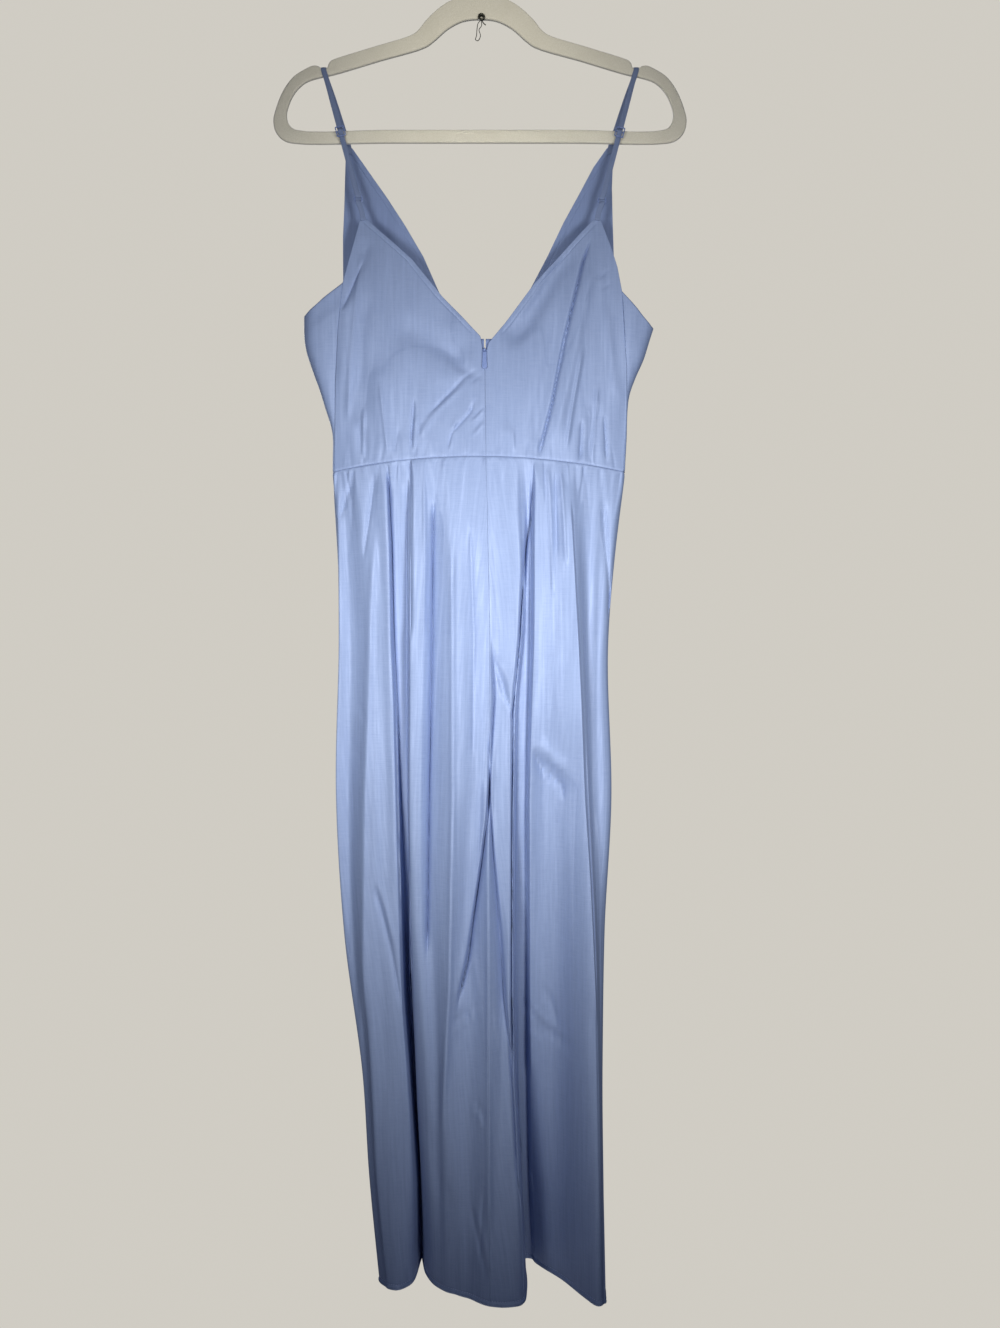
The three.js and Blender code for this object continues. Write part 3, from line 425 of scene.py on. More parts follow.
def line_folds(folds, x, z, ends=4):
    """Soft troughs and ridges along straight lines: from x, z, to x, z, depth, width."""
    total = np.zeros(np.broadcast(x, z).shape)
    for x0, z0, x1, z1, depth, width in folds:
        dx, dz = x1 - x0, z1 - z0
        length = math.hypot(dx, dz)
        share = ((x - x0) * dx + (z - z0) * dz) / length ** 2
        off = ((x - x0) * dz - (z - z0) * dx) / length
        fade = smooth(share * ends) * smooth((1 - share) * ends)
        total += depth * fade * np.exp(-((off / width) ** 2))
    return total


def seen_at(points):
    """Where the camera sees points in mm: across and down, in the photograph's pixels."""
    camera_x, camera_y, camera_z = np.array(CAMERA_AT) * 1000
    away = points[..., 1] - camera_y
    across = PHOTO_WIDTH / 2 + (points[..., 0] - camera_x) * FOCAL_LENGTH / away
    down = PHOTO_HEIGHT / 2 - (points[..., 2] - camera_z) * FOCAL_LENGTH / away
    return across, down


def creases(lines, points):
    """Creases along lines seen from the camera, in mm out of the cloth.

    A ridge is soft, a valley is sharp at its bottom, and the cloth steps down to the right of a
    right step and to the left of a left step.
    """
    across, down = seen_at(points)
    total = np.zeros(across.shape)
    for kind, height, width, fade, *places in lines:
        downs, acrosses = np.array(places[0::2], float), np.array(places[1::2], float)
        off = across - np.interp(down, downs, acrosses)
        strength = smooth((down - downs[0]) / fade) * smooth((downs[-1] - down) / fade)
        near = np.abs(off) / width
        if kind == "ridge":
            profile = np.exp(-near ** 2)
        elif kind == "valley":
            profile = -np.exp(-near)
        else:
            side = np.tanh(off / 0.6) * (-0.5 if kind == "right_step" else 0.5)
            profile = side * np.exp(-near)
        total += height * strength * profile
    return total


def run_length(path):
    """The length along a path up to each of its points."""
    return np.concatenate([[0], np.cumsum(np.linalg.norm(np.diff(path, axis=0), axis=1))])


def evened(values, reach):
    """The running mean of each column over `reach` rows to both sides."""
    padded = np.pad(values, ((reach, reach), (0, 0)), mode="edge")
    return np.mean([padded[k:k + len(values)] for k in range(2 * reach + 1)], axis=0)


def round_angles(count):
    """Angles of a full turn, without the last one."""
    return np.linspace(0, 2 * math.pi, count + 1)[:-1]


def grid_normals(points):
    """Unit normals of a grid of points[row, column], out of the dress."""
    across = np.gradient(points, axis=1)
    up = np.gradient(points, axis=0)
    n = np.cross(across, up)
    return n / np.maximum(np.linalg.norm(n, axis=2, keepdims=True), 1e-9)


def loop_normals(points):
    """Unit normals of a grid whose last column is its first."""
    closed = np.concatenate([points[:, -2:-1], points, points[:, 1:2]], axis=1)
    return grid_normals(closed)[:, 1:-1]


# Meshes


def finish_piece(obj, materials, slot, replaced=(), body=BODY):
    """Puts a piece in the scene: its looks, its body, its slot and the solids it stands for."""
    for material in materials:
        obj.data.materials.append(material)
    bpy.context.collection.objects.link(obj)
    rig.ride(obj, body)
    if replaced:
        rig.replaces(obj, *replaced)
    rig.slot(obj, slot)
    return obj


def make_mesh(name, vertices, faces, uvs=None):
    """A smooth mesh object from points in mm."""
    mesh = bpy.data.meshes.new(name)
    mesh.from_pydata([tuple(v) for v in np.asarray(vertices) * MM], [], faces)
    if uvs is not None:
        layer = mesh.uv_layers.new(name="UVMap")
        loops = np.empty(len(mesh.loops), dtype=np.int64)
        mesh.loops.foreach_get("vertex_index", loops)
        layer.data.foreach_set("uv", np.asarray(uvs)[loops].ravel())
    mesh.polygons.foreach_set("use_smooth", np.ones(len(mesh.polygons), dtype=bool))
    mesh.update()
    return bpy.data.objects.new(name, mesh)


def use_materials(mesh, numbers):
    """Gives each face the material of its number, or every face that of one number."""
    numbers = np.broadcast_to(np.int32(numbers), len(mesh.polygons)).copy()
    mesh.polygons.foreach_set("material_index", numbers)


def merge_near(work, distance):
    bmesh.ops.remove_doubles(work, verts=work.verts, dist=distance)


def face_out(work):
    bmesh.ops.recalc_face_normals(work, faces=work.faces)


def rework(mesh, *changes):
    """Runs each change on the mesh's editable form."""
    work = bmesh.new()
    work.from_mesh(mesh)
    for change in changes:
        change(work)
    work.to_mesh(mesh)
    work.free()


def cloth_shell(name, points, normals, upright=False, thick=CLOTH):
    """A thin closed shell: points[row, column] is the outer face."""
    rows, columns = points.shape[:2]
    inner = points - normals * thick
    outer_index = np.arange(rows * columns).reshape(rows, columns)
    inner_index = outer_index + rows * columns
    quads = np.stack([outer_index[:-1, :-1], outer_index[:-1, 1:],
                      outer_index[1:, 1:], outer_index[1:, :-1]], axis=-1).reshape(-1, 4)
    back = (quads + rows * columns)[:, ::-1]
    rim = []
    for a, b, c, d in (
        (outer_index[0, :-1], outer_index[0, 1:], inner_index[0, :-1], inner_index[0, 1:]),
        (outer_index[-1, 1:], outer_index[-1, :-1], inner_index[-1, 1:], inner_index[-1, :-1]),
        (outer_index[1:, 0], outer_index[:-1, 0], inner_index[1:, 0], inner_index[:-1, 0]),
        (outer_index[:-1, -1], outer_index[1:, -1], inner_index[:-1, -1], inner_index[1:, -1]),
    ):
        rim.append(np.stack([b, a, c, d], axis=-1))
    faces = np.concatenate([quads, back, *rim])
    if upright:
        across = points[..., 0]
    else:
        steps = np.linalg.norm(np.diff(points, axis=1), axis=2)
        across = np.concatenate([np.zeros((rows, 1)), np.cumsum(steps, axis=1)], axis=1)
        across = evened(across - across[:, columns // 2][:, None], 20)
    uv = np.stack([across, points[..., 2]], axis=-1).reshape(-1, 2) * MM
    obj = make_mesh(name, np.concatenate([points.reshape(-1, 3), inner.reshape(-1, 3)]),
                    faces.tolist(), np.concatenate([uv, uv]))
    # The inner faces take the second material: the reverse, with painted shade in its darker colour.
    side = np.zeros(len(faces), dtype=np.int32)
    side[len(quads):2 * len(quads)] = 1
    use_materials(obj.data, side)
    return obj


def joined_pieces(name, parts):
    """One object of the meshes of several."""
    work = bmesh.new()
    for part in parts:
        work.from_mesh(part.data)
    mesh = bpy.data.meshes.new(name)
    work.to_mesh(mesh)
    work.free()
    for part in parts:
        bpy.data.objects.remove(part)
    return bpy.data.objects.new(name, mesh)


def sheet_size(parts):
    """The width, length and area in metres that a panel was cut to."""
    width = length = area = 0
    for points in parts:
        width = max(width, np.linalg.norm(np.diff(points, axis=1), axis=2).sum(axis=1).max() * MM)
        length += np.linalg.norm(np.diff(points, axis=0), axis=2).sum(axis=0).max() * MM
        a = points[1:, 1:] - points[:-1, :-1]
        b = points[1:, :-1] - points[:-1, 1:]
        area += 0.5 * np.linalg.norm(np.cross(a, b), axis=2).sum() * MM * MM
    return width, length, min(area, width * length)


# Materials


class Look:
    """A new material and the nodes that are put into it."""

    def __init__(self, name):
        self.material = bpy.data.materials.new(name)
        self.material.use_nodes = True
        tree = self.material.node_tree
        self.add = tree.nodes.new
        self.join = tree.links.new
        self.shader = tree.nodes["Principled BSDF"]

    def fill(self, inputs, settings):
        """Sets inputs to numbers or colours, or joins them to other nodes' outputs."""
        for key, value in settings.items():
            if isinstance(value, bpy.types.NodeSocket):
                self.join(value, inputs[key])
            elif inputs[key].type == "RGBA":
                inputs[key].default_value = (*value, 1)
            else:
                inputs[key].default_value = value

    def node(self, kind, settings):
        made = self.add(kind)
        self.fill(made.inputs, settings)
        return made

    def shade(self, settings):
        """Fills the shader's inputs and gives back the finished material."""
        self.fill(self.shader.inputs, settings)
        return self.material

    def on_cloth(self, across, along, turn=0.0):
        """The cloth's own coordinates in metres, scaled and turned."""
        return self.node("ShaderNodeMapping", {
            "Vector": self.add("ShaderNodeUVMap").outputs["UV"],
            "Scale": (across, along, 1),
            "Rotation": (0, 0, turn),
        }).outputs["Vector"]

    def in_space(self):
        """The object's own coordinates in metres."""
        return self.add("ShaderNodeTexCoord").outputs["Object"]

    def noise(self, where, scale, detail, rough):
        return self.node("ShaderNodeTexNoise", {
            "Vector": where, "Scale": scale, "Detail": detail, "Roughness": rough,
        }).outputs["Fac"]

    def grain(self, across, along, detail, rough):
        """Noise drawn out along or across the cloth."""
        return self.noise(self.on_cloth(across, along), 1.0, detail, rough)

    def mixed(self, share, first, second):
        """A mix of two colours, each given as numbers or as a node's output."""
        made = self.add("ShaderNodeMix")
        made.data_type = "RGBA"
        self.fill(made.inputs, {"Factor": share})
        colours = {socket.name: socket for socket in made.inputs if socket.type == "RGBA"}
        self.fill(colours, {"A": first, "B": second})
        return next(socket for socket in made.outputs if socket.type == "RGBA")

    def ranged(self, value, low, high, to_low, to_high):
        return self.node("ShaderNodeMapRange", {
            "Value": value, "From Min": low, "From Max": high, "To Min": to_low, "To Max": to_high,
        }).outputs["Result"]

    def bumped(self, height, distance, strength, under=None):
        made = self.node("ShaderNodeBump", {
            "Height": height, "Distance": distance, "Strength": strength})
        if under is not None:
            self.join(under, made.inputs["Normal"])
        return made.outputs["Normal"]


def satin_material(name, base, deep, rough, metallic, level):
    """Satin: a lustrous face with a fine crosswise slub and faint lengthwise threads."""
    look = Look(name)
    slub = look.grain(60, 900, 4.0, 0.65)
    threads = look.grain(1500, 70, 3.0, 0.6)
    weave = look.grain(2200, 3000, 2.0, 0.5)
    streaks = look.grain(330, 14, 4.0, 0.6)
    cloud = look.grain(11, 5, 3.0, 0.5)
    colour = look.mixed(look.ranged(slub, 0.3, 0.7, 0, 1), deep, base)
    for grain, low, high, most, tone, times in (
        (threads, 0.35, 0.75, 0.30, base, 1.16),
        (cloud, 0.3, 0.7, 0.30, deep, 0.90),
        (streaks, 0.40, 0.75, 0.45, base, 1.22),
    ):
        colour = look.mixed(look.ranged(grain, low, high, 0, most), colour,
                            tuple(min(1, c * times) for c in tone))
    fine = look.bumped(weave, 0.00005, 0.6)
    fine = look.bumped(threads, 0.00009, 0.5, fine)
    return look.shade({
        "Base Color": colour,
        "Roughness": look.ranged(streaks, 0.3, 0.7, rough + 0.06, rough - 0.08),
        "Normal": look.bumped(slub, 0.00013, 0.5, fine),
        "Metallic": metallic,
        "Specular IOR Level": level,
        "Anisotropic": 0.45,
        "Anisotropic Rotation": 0.25,
        "Sheen Weight": 0.06,
        "Sheen Roughness": 0.5,
        "Sheen Tint": (0.80, 0.86, 1),
    })


def flock_material():
    """Ivory flock: a short fuzz, darker in clouds."""
    look = Look("ivory_flock")
    fuzz = look.noise(look.in_space(), 900, 3, 0.7)
    worn = look.noise(look.in_space(), 30, 4, 0.6)
    colour = look.mixed(look.ranged(fuzz, 0.35, 0.65, 0, 1), (0.86, 0.82, 0.68),
                        (0.95, 0.91, 0.78))
    colour = look.mixed(look.ranged(worn, 0.45, 0.75, 0, 0.4), colour, (0.80, 0.76, 0.62))
    return look.shade({
        "Base Color": colour,
        "Normal": look.bumped(fuzz, 0.0004, 0.8),
        "Roughness": 0.95,
        "Sheen Weight": 0.6,
        "Sheen Roughness": 0.5,
    })


def mottled_material(name, grain, colours, bump, shine, other):
    """A mottled solid. The grain is (scale, detail, roughness), the bump is (distance, strength)
    and the shine is the roughness at the noise's low and high ends."""
    look = Look(name)
    spots = look.noise(look.in_space(), *grain)
    return look.shade({
        "Base Color": look.mixed(spots, *colours),
        "Normal": look.bumped(spots, *bump),
        "Roughness": look.ranged(spots, 0.3, 0.7, *shine),
    } | other)


def tape_material():
    """Zip tape: a dull close twill."""
    look = Look("zip_tape_weave")
    twill = look.node("ShaderNodeTexWave", {
        "Vector": look.on_cloth(500, 500, math.radians(40)), "Scale": 1.0, "Distortion": 0.6,
    }).outputs["Fac"]
    return look.shade({
        "Base Color": look.mixed(twill, (0.17, 0.24, 0.48), (0.24, 0.32, 0.60)),
        "Normal": look.bumped(twill, 0.00012, 0.7),
        "Roughness": 0.8,
    })


satin = satin_material("satin", (0.276, 0.358, 0.585), (0.219, 0.295, 0.520), 0.60, 0.15, 0.65)
# The reverse is rougher and less glossy, like satin's wrong side, and its darker colour is painted shade for the
# shaded inside of the dress.
satin_reverse_painted_shade = satin_material("satin_reverse_painted_shade", (0.215, 0.285, 0.50), (0.195, 0.262, 0.47),
                               0.72, 0.0, 0.3)
strap_satin = satin_material("strap_satin", (0.19, 0.25, 0.43), (0.17, 0.225, 0.39),
                             0.66, 0.0, 0.4)
flock = flock_material()
steel = mottled_material("plated_steel", (260, 5, 0.6), [(0.62, 0.63, 0.65), (0.78, 0.79, 0.81)],
                         (0.00004, 0.5), (0.16, 0.32), {"Metallic": 1.0})
enamel = mottled_material("blue_enamel", (350, 4, 0.6), [(0.17, 0.24, 0.50), (0.25, 0.33, 0.62)],
                          (0.00005, 0.4), (0.22, 0.36), {"Specular IOR Level": 0.6})
thread = mottled_material("sewing_thread", (1500, 2, 0.5),
                          [(0.38, 0.46, 0.72), (0.52, 0.60, 0.86)],
                          (0.00008, 0.6), (0.5, 0.5), {})
tape_weave = tape_material()
dark_wire = Look("dark_wire").shade({"Base Color": (0.07, 0.07, 0.055), "Metallic": 0.8,
                                     "Roughness": 0.4})
pale_floor = Look("pale_floor").shade({"Base Color": (0.80, 0.78, 0.74), "Roughness": 0.9})

# Bodice


def bulge(x):
    """1 at the middle of the waist, falling to 0 at its sides."""
    return np.maximum(0, 1 - ((x - WAIST_MIDDLE_X) / WAIST_HALF) ** 2)


def waist_z(x):
    return WAIST_Z - WAIST_SIDE_DROP * ((x - WAIST_MIDDLE_X) / WAIST_HALF) ** 2


def above_waist(x, z, reach):
    """0 at the waist seam and below it, rising to 1 some mm above it."""
    return smooth((z - waist_z(x)) / reach)


def bodice_y(x, z, side_y, middle_y, folds):
    """The bodice's depth at a place, bellied from its sides to its middle, with its folds."""
    side = through(DEPTH_LEVELS, side_y, z)
    middle = through(DEPTH_LEVELS, middle_y, z)
    return lerp(side, middle, bulge(x)) + folds * above_waist(x, z, 30)


def back_y(x, z):
    return bodice_y(x, z, BACK_SIDE_Y, BACK_MIDDLE_Y,
                    BACK_FOLD_SHARE * line_folds(BACK_CREASES, x, z))


def front_y(x, z):
    return bodice_y(x, z, FRONT_SIDE_Y, FRONT_MIDDLE_Y, line_folds(FRONT_CREASES, x, z))


def seam_rows(rows, extra=6, share=0.012):
    """Shares of a height from 0 to 1, with rows close together at the start."""
    return np.concatenate([np.linspace(0, share, extra, endpoint=False),
                           np.linspace(share, 1, rows - extra)])


def edge_roll(away, depth=0.8, width=2.2):
    """How far a sewn edge turns in, at a distance from the seam in mm."""
    return -depth * np.clip(1 - away / width, 0, 1) ** 2


def seam_point(half, t):
    """The side seam's x and z, t up from the waist."""
    seam = half["seam"]
    z = lerp(seam[0][1], seam[-1][1], t)
    x = edge_x(seam, z)
    return x, lerp(waist_z(x), z, smooth(t * 12))


def start_at_waist(x, z, t):
    """Brings the rows near the waist, where t is 0, to the seam's own line."""
    return lerp(waist_z(x), z, smooth(t * 14)[:, None])


def on_front(x, z):
    return np.stack([x, front_y(x, z), z], axis=-1)


def left_to_right(points, half):
    """Puts the columns of a half's grid in order to the right."""
    return points[:, ::-1] if half["turn"] > 0 else points


def gather_list(count, low, high, length, depth, width, seed):
    """Gathers that the waist seam holds: place along it, length, depth and width in mm, lean."""
    rng = np.random.RandomState(seed)
    places = np.sort(rng.uniform(low, high, count))
    return [(p, rng.uniform(*length), rng.uniform(*depth) * rng.choice([-1, 1]),
             rng.uniform(*width), rng.uniform(-0.25, 0.25)) for p in places]


def gathers(items, s, away):
    """Ripples that start at a seam: s is the place along it and `away` the way off it."""
    total = np.zeros(np.broadcast(s, away).shape)
    for place, length, depth, width, lean in items:
        fade = (1 - smooth(away / length)) * smooth(away / 6)
        total += depth * fade * np.exp(-(((s - place - lean * away) / width) ** 2))
    return total


BACK_GATHERS = gather_list(64, -152, 152, (12, 70), (0.15, 0.6), (1.2, 2.6), 3)
FRONT_GATHERS = gather_list(56, -152, 152, (12, 60), (0.12, 0.5), (1.3, 2.8), 4)

# Creases as the camera sees them: kind, height and width in mm, fade at each end in the
# photograph's pixels, then places down and across in turn. A front line is placed as if the
# camera saw the front through the back.
BODICE_LINES = [
    ("ridge", 1.4, 3, 25, 241, 362.5, 295, 356.6, 366, 350.7, 425, 347.5),
    ("ridge", -1.6, 6, 25, 290, 368, 340, 362, 400, 358),
    ("valley", 2.8, 2.2, 14, 258, 364, 262, 363, 313, 340),
    ("ridge", 1.3, 2.0, 18, 378, 379.5, 458, 388),
    ("ridge", 1.2, 2.0, 14, 405, 364, 462, 363),
    ("valley", 3.2, 1.4, 16, 395, 413.5, 456, 411),
    ("ridge", 2.0, 2.0, 12, 412, 416, 430, 415, 452, 414),
    ("valley", 1.4, 2.0, 12, 425, 398, 458, 394),
    ("valley", 2.6, 3.0, 16, 366, 480, 378, 463, 398, 444, 420, 424),
    ("ridge", -2.4, 9, 20, 340, 440, 368, 462, 384, 482),
    ("ridge", 1.6, 4, 22, 378, 470, 412, 436, 445, 414),
    ("valley", 2.8, 1.5, 14, 396, 476, 412, 470, 432, 452, 452, 447),
    ("ridge", 1.3, 2.0, 14, 412, 456, 457, 449),
    ("valley", 1.0, 1.6, 6, 404, 485, 412, 478, 420, 470),
    ("ridge", 1.2, 1.8, 6, 408, 485, 416, 478, 424, 471),
    ("valley", 1.0, 1.6, 6, 415, 485, 424, 478, 433, 470),
    ("ridge", 1.0, 1.8, 6, 421, 485, 430, 478, 438, 472),
    ("valley", 0.9, 1.6, 6, 372, 484, 380, 474, 386, 468),
    ("valley", 5.8, 1.3, 26, 236, 592, 262, 583, 295, 575, 342, 564, 401, 552.6, 464, 537),
    ("ridge", 1.2, 5, 20, 262, 592, 342, 576, 401, 563, 440, 553),
    ("ridge", 1.8, 2.0, 20, 345, 583, 401, 573.8, 452, 566),
    ("ridge", -2.4, 8, 25, 250, 570, 295, 546, 352, 510),
    ("ridge", 1.4, 5, 25, 250, 560, 295, 533, 335, 505),
    ("ridge", 1.2, 2.2, 18, 380, 598, 462, 592),
    ("valley", 2.8, 1.4, 12, 418, 582, 462, 580),
    ("valley", 2.8, 1.4, 14, 412, 604, 464, 607),
    ("ridge", 1.2, 2.2, 12, 425, 512, 458, 514),
    ("valley", 1.2, 2.0, 10, 438, 528, 462, 526),
    ("ridge", 0.9, 4, 20, 300, 606, 400, 616),
    ("ridge", -1.4, 3, 10, 268, 608, 282, 596),
    ("ridge", -1.2, 3, 10, 280, 612, 292, 600),
]
BODICE_FRONT_LINES = [
    ("ridge", 1.2, 5, 22, 300, 372, 360, 380, 440, 384),
    ("valley", 1.6, 2.4, 14, 396, 402, 456, 398),
    ("ridge", 1.4, 6, 22, 330, 420, 390, 428, 452, 432),
    ("valley", 2.0, 2.4, 18, 352, 458, 400, 447, 455, 440),
    ("ridge", 0.9, 2.4, 12, 420, 466, 458, 468),
    ("valley", 1.8, 2.6, 16, 366, 512, 404, 520, 456, 524),
    ("ridge", 1.5, 7, 24, 320, 552, 380, 545, 450, 540),
    ("valley", 1.4, 2.2, 12, 410, 562, 458, 566),
    ("valley", 1.6, 3.0, 16, 300, 590, 350, 584, 402, 580),
    ("ridge", 1.0, 2.4, 12, 424, 596, 458, 594),
]


def facing_line(off, z, foot):
    """The shallow groove of the stitching 5 mm inside a neckline."""
    return 0.5 * np.exp(-((np.abs(off) * 0.8 - 5) / 0.8) ** 2) * smooth((z - foot) / 8)


def bodice_detail(points, items, seed):
    """Small ripples of a bodice panel, in mm out of the cloth."""
    x, z = points[..., 0], points[..., 2]
    away = z - waist_z(x)
    ripple = gathers(items, x, away)
    soft = 0.38 * waves(x, z, 12, (30, 90), (60, 260), seed)
    return ripple + soft * smooth(away / 30) + edge_roll(away)


def back_bodice(half, rows=150, columns=150):
    """Points of one back half, with its columns running to the right.

    Its rows run from the neck to the side seam, and above ARMHOLE_Z to the armhole.
    """
    t = seam_rows(rows)
    peak_z = half["neck"][-1][1]
    join = 0.72
    low = np.clip(t / join, 0, 1)
    above = np.clip((t - join) / (1 - join), 0, 1)
    inner_z = np.where(t < join, lerp(WAIST_Z, ARMHOLE_Z, low), lerp(ARMHOLE_Z, peak_z, above))
    inner_x = edge_x(half["neck"], inner_z)
    seam_x, seam_z = seam_point(half, low)
    arm_z = lerp(half["back_armhole"][0][1], peak_z, above)
    outer_x = np.where(t < join, seam_x, edge_x(half["back_armhole"], arm_z))
    outer_z = np.where(t < join, seam_z, arm_z)
    s = np.linspace(0, 1, columns)[None, :]
    if half["turn"] > 0:
        s = s[:, ::-1]
    x = lerp(inner_x[:, None], outer_x[:, None], s)
    z = lerp(inner_z[:, None], outer_z[:, None], s ** 2)
    z = start_at_waist(x, z, t)
    return np.stack([x, back_y(x, z), z], axis=-1)


def flap_points(half, s, t):
    """Points round the flap under the arm: s from the side seam on, t up from the waist."""
    turn = half["turn"]
    near_x, near_z = seam_point(half, t)
    near_y = back_y(near_x, near_z)
    fold_x = near_x - turn * through(FLAP_STEPS, half["flap"], t)
    arm_x, arm_z = half["front_armhole"][0]
    far_x = lerp(near_x, arm_x, t)
    far_z = lerp(waist_z(far_x), arm_z, t)
    far_y = front_y(far_x, far_z)
    fold_y = lerp(near_y, far_y, 0.55)
    near, far = ([np.stack([lerp(x, fold_x, out), lerp(y, fold_y, inward)], axis=-1)
                  for out, inward in FLAP_SECTION] for x, y in ((near_x, near_y), (far_x, far_y)))
    section = np.stack([*near, np.stack([fold_x, fold_y], axis=-1), *reversed(far)], axis=1)
    at = np.asarray(s) * (section.shape[1] - 1)
    p = np.stack([rounded(row, at, False) for row in section])
    drop = half["fold_drop"] * np.sin(math.pi * s)[None, :] * (smooth(t * 1.2) * t)[:, None]
    z = lerp(near_z[:, None], far_z[:, None], s[None, :]) - drop
    return np.stack([p[..., 0], p[..., 1], start_at_waist(p[..., 0], z, t)], axis=-1)


def front_edge_x(half, z):
    """The front half's inner edge: the centre seam, then the neckline."""
    edge = [FRONT_V] + half["front_neck"]
    return np.where(z < FRONT_V[1], FRONT_V[0], edge_x(edge, z))


def front_low(half, rows=110, flap_columns=56, columns=84):
    """The front half up to its armhole: from the side seam round the flap to the centre."""
    t = seam_rows(rows)
    flap = flap_points(half, np.linspace(0, 1, flap_columns), t)
    start = flap[:, -1]
    level = lerp(WAIST_Z, half["front_armhole"][0][1], t)
    s = np.linspace(0, 1, columns)[None, 1:]
    x = lerp(start[:, :1], front_edge_x(half, level)[:, None], s)
    z = lerp(start[:, 2:], level[:, None], 1 - (1 - s) ** 2)
    rest = on_front(x, start_at_waist(x, z, t))
    return left_to_right(np.concatenate([flap, rest], axis=1), half)


def front_high(half, rows=80, columns=84):
    """The front half above its armhole's foot, up to the strap."""
    top_z = half["front_neck"][-1][1]
    z = np.linspace(half["front_armhole"][0][1], top_z, rows)[:, None]
    s = np.linspace(0, 1, columns)[None, :]
    x = lerp(edge_x(half["front_armhole"], z), front_edge_x(half, z), s)
    return left_to_right(on_front(x, np.broadcast_to(z, x.shape)), half)


def panel_normals(parts, turn):
    """Normals of the grids of one panel, the same on both sides of the row where they meet."""
    normals = [grid_normals(points) for points in parts]
    if len(parts) > 1:
        low, high = normals
        shared = slice(0, high.shape[1]) if turn > 0 else slice(-high.shape[1], None)
        both = low[-1, shared] + high[0]
        both /= np.linalg.norm(both, axis=1, keepdims=True)
        low[-1, shared] = both
        high[0] = both
    return normals


def take_out_inner(work):
    """Takes out the faces between the grids of one panel that have been merged."""
    between = [face for face in work.faces
               if sum(len(edge.link_faces) > 2 for edge in face.edges) > 1]
    bmesh.ops.delete(work, geom=between, context="FACES_ONLY")


def bodice_panel(name, parts, details, turn=1):
    """One bodice panel from its grids and the small detail on each."""
    parts = [points + normals * detail[..., None]
             for points, normals, detail in zip(parts, panel_normals(parts, turn), details)]
    made = [cloth_shell(f"{name}_{k}" if k else name, points, normals, True)
            for k, (points, normals) in enumerate(zip(parts, panel_normals(parts, turn)))]
    obj = made[0]
    if len(made) > 1:
        obj = joined_pieces(name, made)
        rework(obj.data, lambda work: merge_near(work, 2e-6), take_out_inner)
    return finish_piece(obj, [satin, satin_reverse_painted_shade], "satin", [f"bodice_{name}"])


sheets = []
for side, half in HALVES.items():
    points = back_bodice(half)
    x, z = points[..., 0], points[..., 2]
    points[..., 1] -= creases(BODICE_LINES, points) * above_waist(x, z, 12)
    detail = bodice_detail(points, BACK_GATHERS, 21)
    detail -= facing_line(x - edge_x(half["neck"], z), z, V_FOOT_Z)
    sheets.append((bodice_panel(f"back_{side}", [points], [detail]), [points]))

    parts = [front_low(half), front_high(half)]
    details = []
    for points in parts:
        x, z = points[..., 0], points[..., 2]
        points[..., 1] += (creases(BODICE_FRONT_LINES, points) * above_waist(x, z, 12)
                           * (points[..., 1] > 0))
        details.append(bodice_detail(points, FRONT_GATHERS, 22)
                       + facing_line(x - front_edge_x(half, z), z, FRONT_V[1]))
    sheets.append((bodice_panel(f"front_{side}", parts, details, half["turn"]), parts))

# Skirt


def waist_y(x, front):
    """The skirt's depth at the waist seam."""
    belly = WAIST_FRONT_BELLY if front else -WAIST_BACK_BELLY
    side = WAIST_SIDE_Y if front else -WAIST_SIDE_Y
    return 0 if bulge(x) < 0.01 else side + belly * bulge(x)


def skirt_grid(fold_at, heights):
    """Points of the skirt at fractional fold numbers and heights."""
    waist, hip = SKIRT_LEVELS[:2]
    t = np.clip((waist - heights) / (waist - hip), 0, 1)
    nets = []
    for k, (_, xs, ys) in enumerate(FOLDS):
        at_waist = waist_y(xs[0], k >= len(BACK_FOLDS))
        y = np.where(t < 1, lerp(at_waist, ys[0], 1 - (1 - t) ** 2),
                     through(SKIRT_LEVELS[1:], ys, heights))
        nets.append(np.stack([through(SKIRT_LEVELS, xs, heights), y], axis=-1))
    net = np.stack(nets, axis=1)
    flat = np.stack([rounded(row, fold_at, True) for row in net])
    z = np.broadcast_to(heights[:, None], flat.shape[:2])
    near = smooth((z - waist + 90) / 90)
    z = z + (waist_z(flat[..., 0]) - waist) * near
    return np.concatenate([flat, z[..., None]], axis=-1)


BACK_STEPS = 20
FRONT_STEPS = 12
SKIRT_ROWS = 170
hem_heights = HEM_Z + np.array([0, 0.4, 1, 2, 3, 4, 4.6, 5.2, 6, 7.5])
heights = lerp(SKIRT_LEVELS[0], HEM_Z + 12, seam_rows(SKIRT_ROWS - 10, 8, 0.007))[::-1]
heights = np.concatenate([hem_heights, heights])
last_back = len(BACK_FOLDS) - 1
fold_at = np.concatenate([
    np.arange(last_back * BACK_STEPS) / BACK_STEPS,
    last_back + np.arange((len(FOLDS) - last_back) * FRONT_STEPS + 1) / FRONT_STEPS])
skirt = skirt_grid(fold_at, heights)
place = run_length(skirt[-1])[None, :]
drop = waist_z(skirt[..., 0]) - skirt[..., 2]

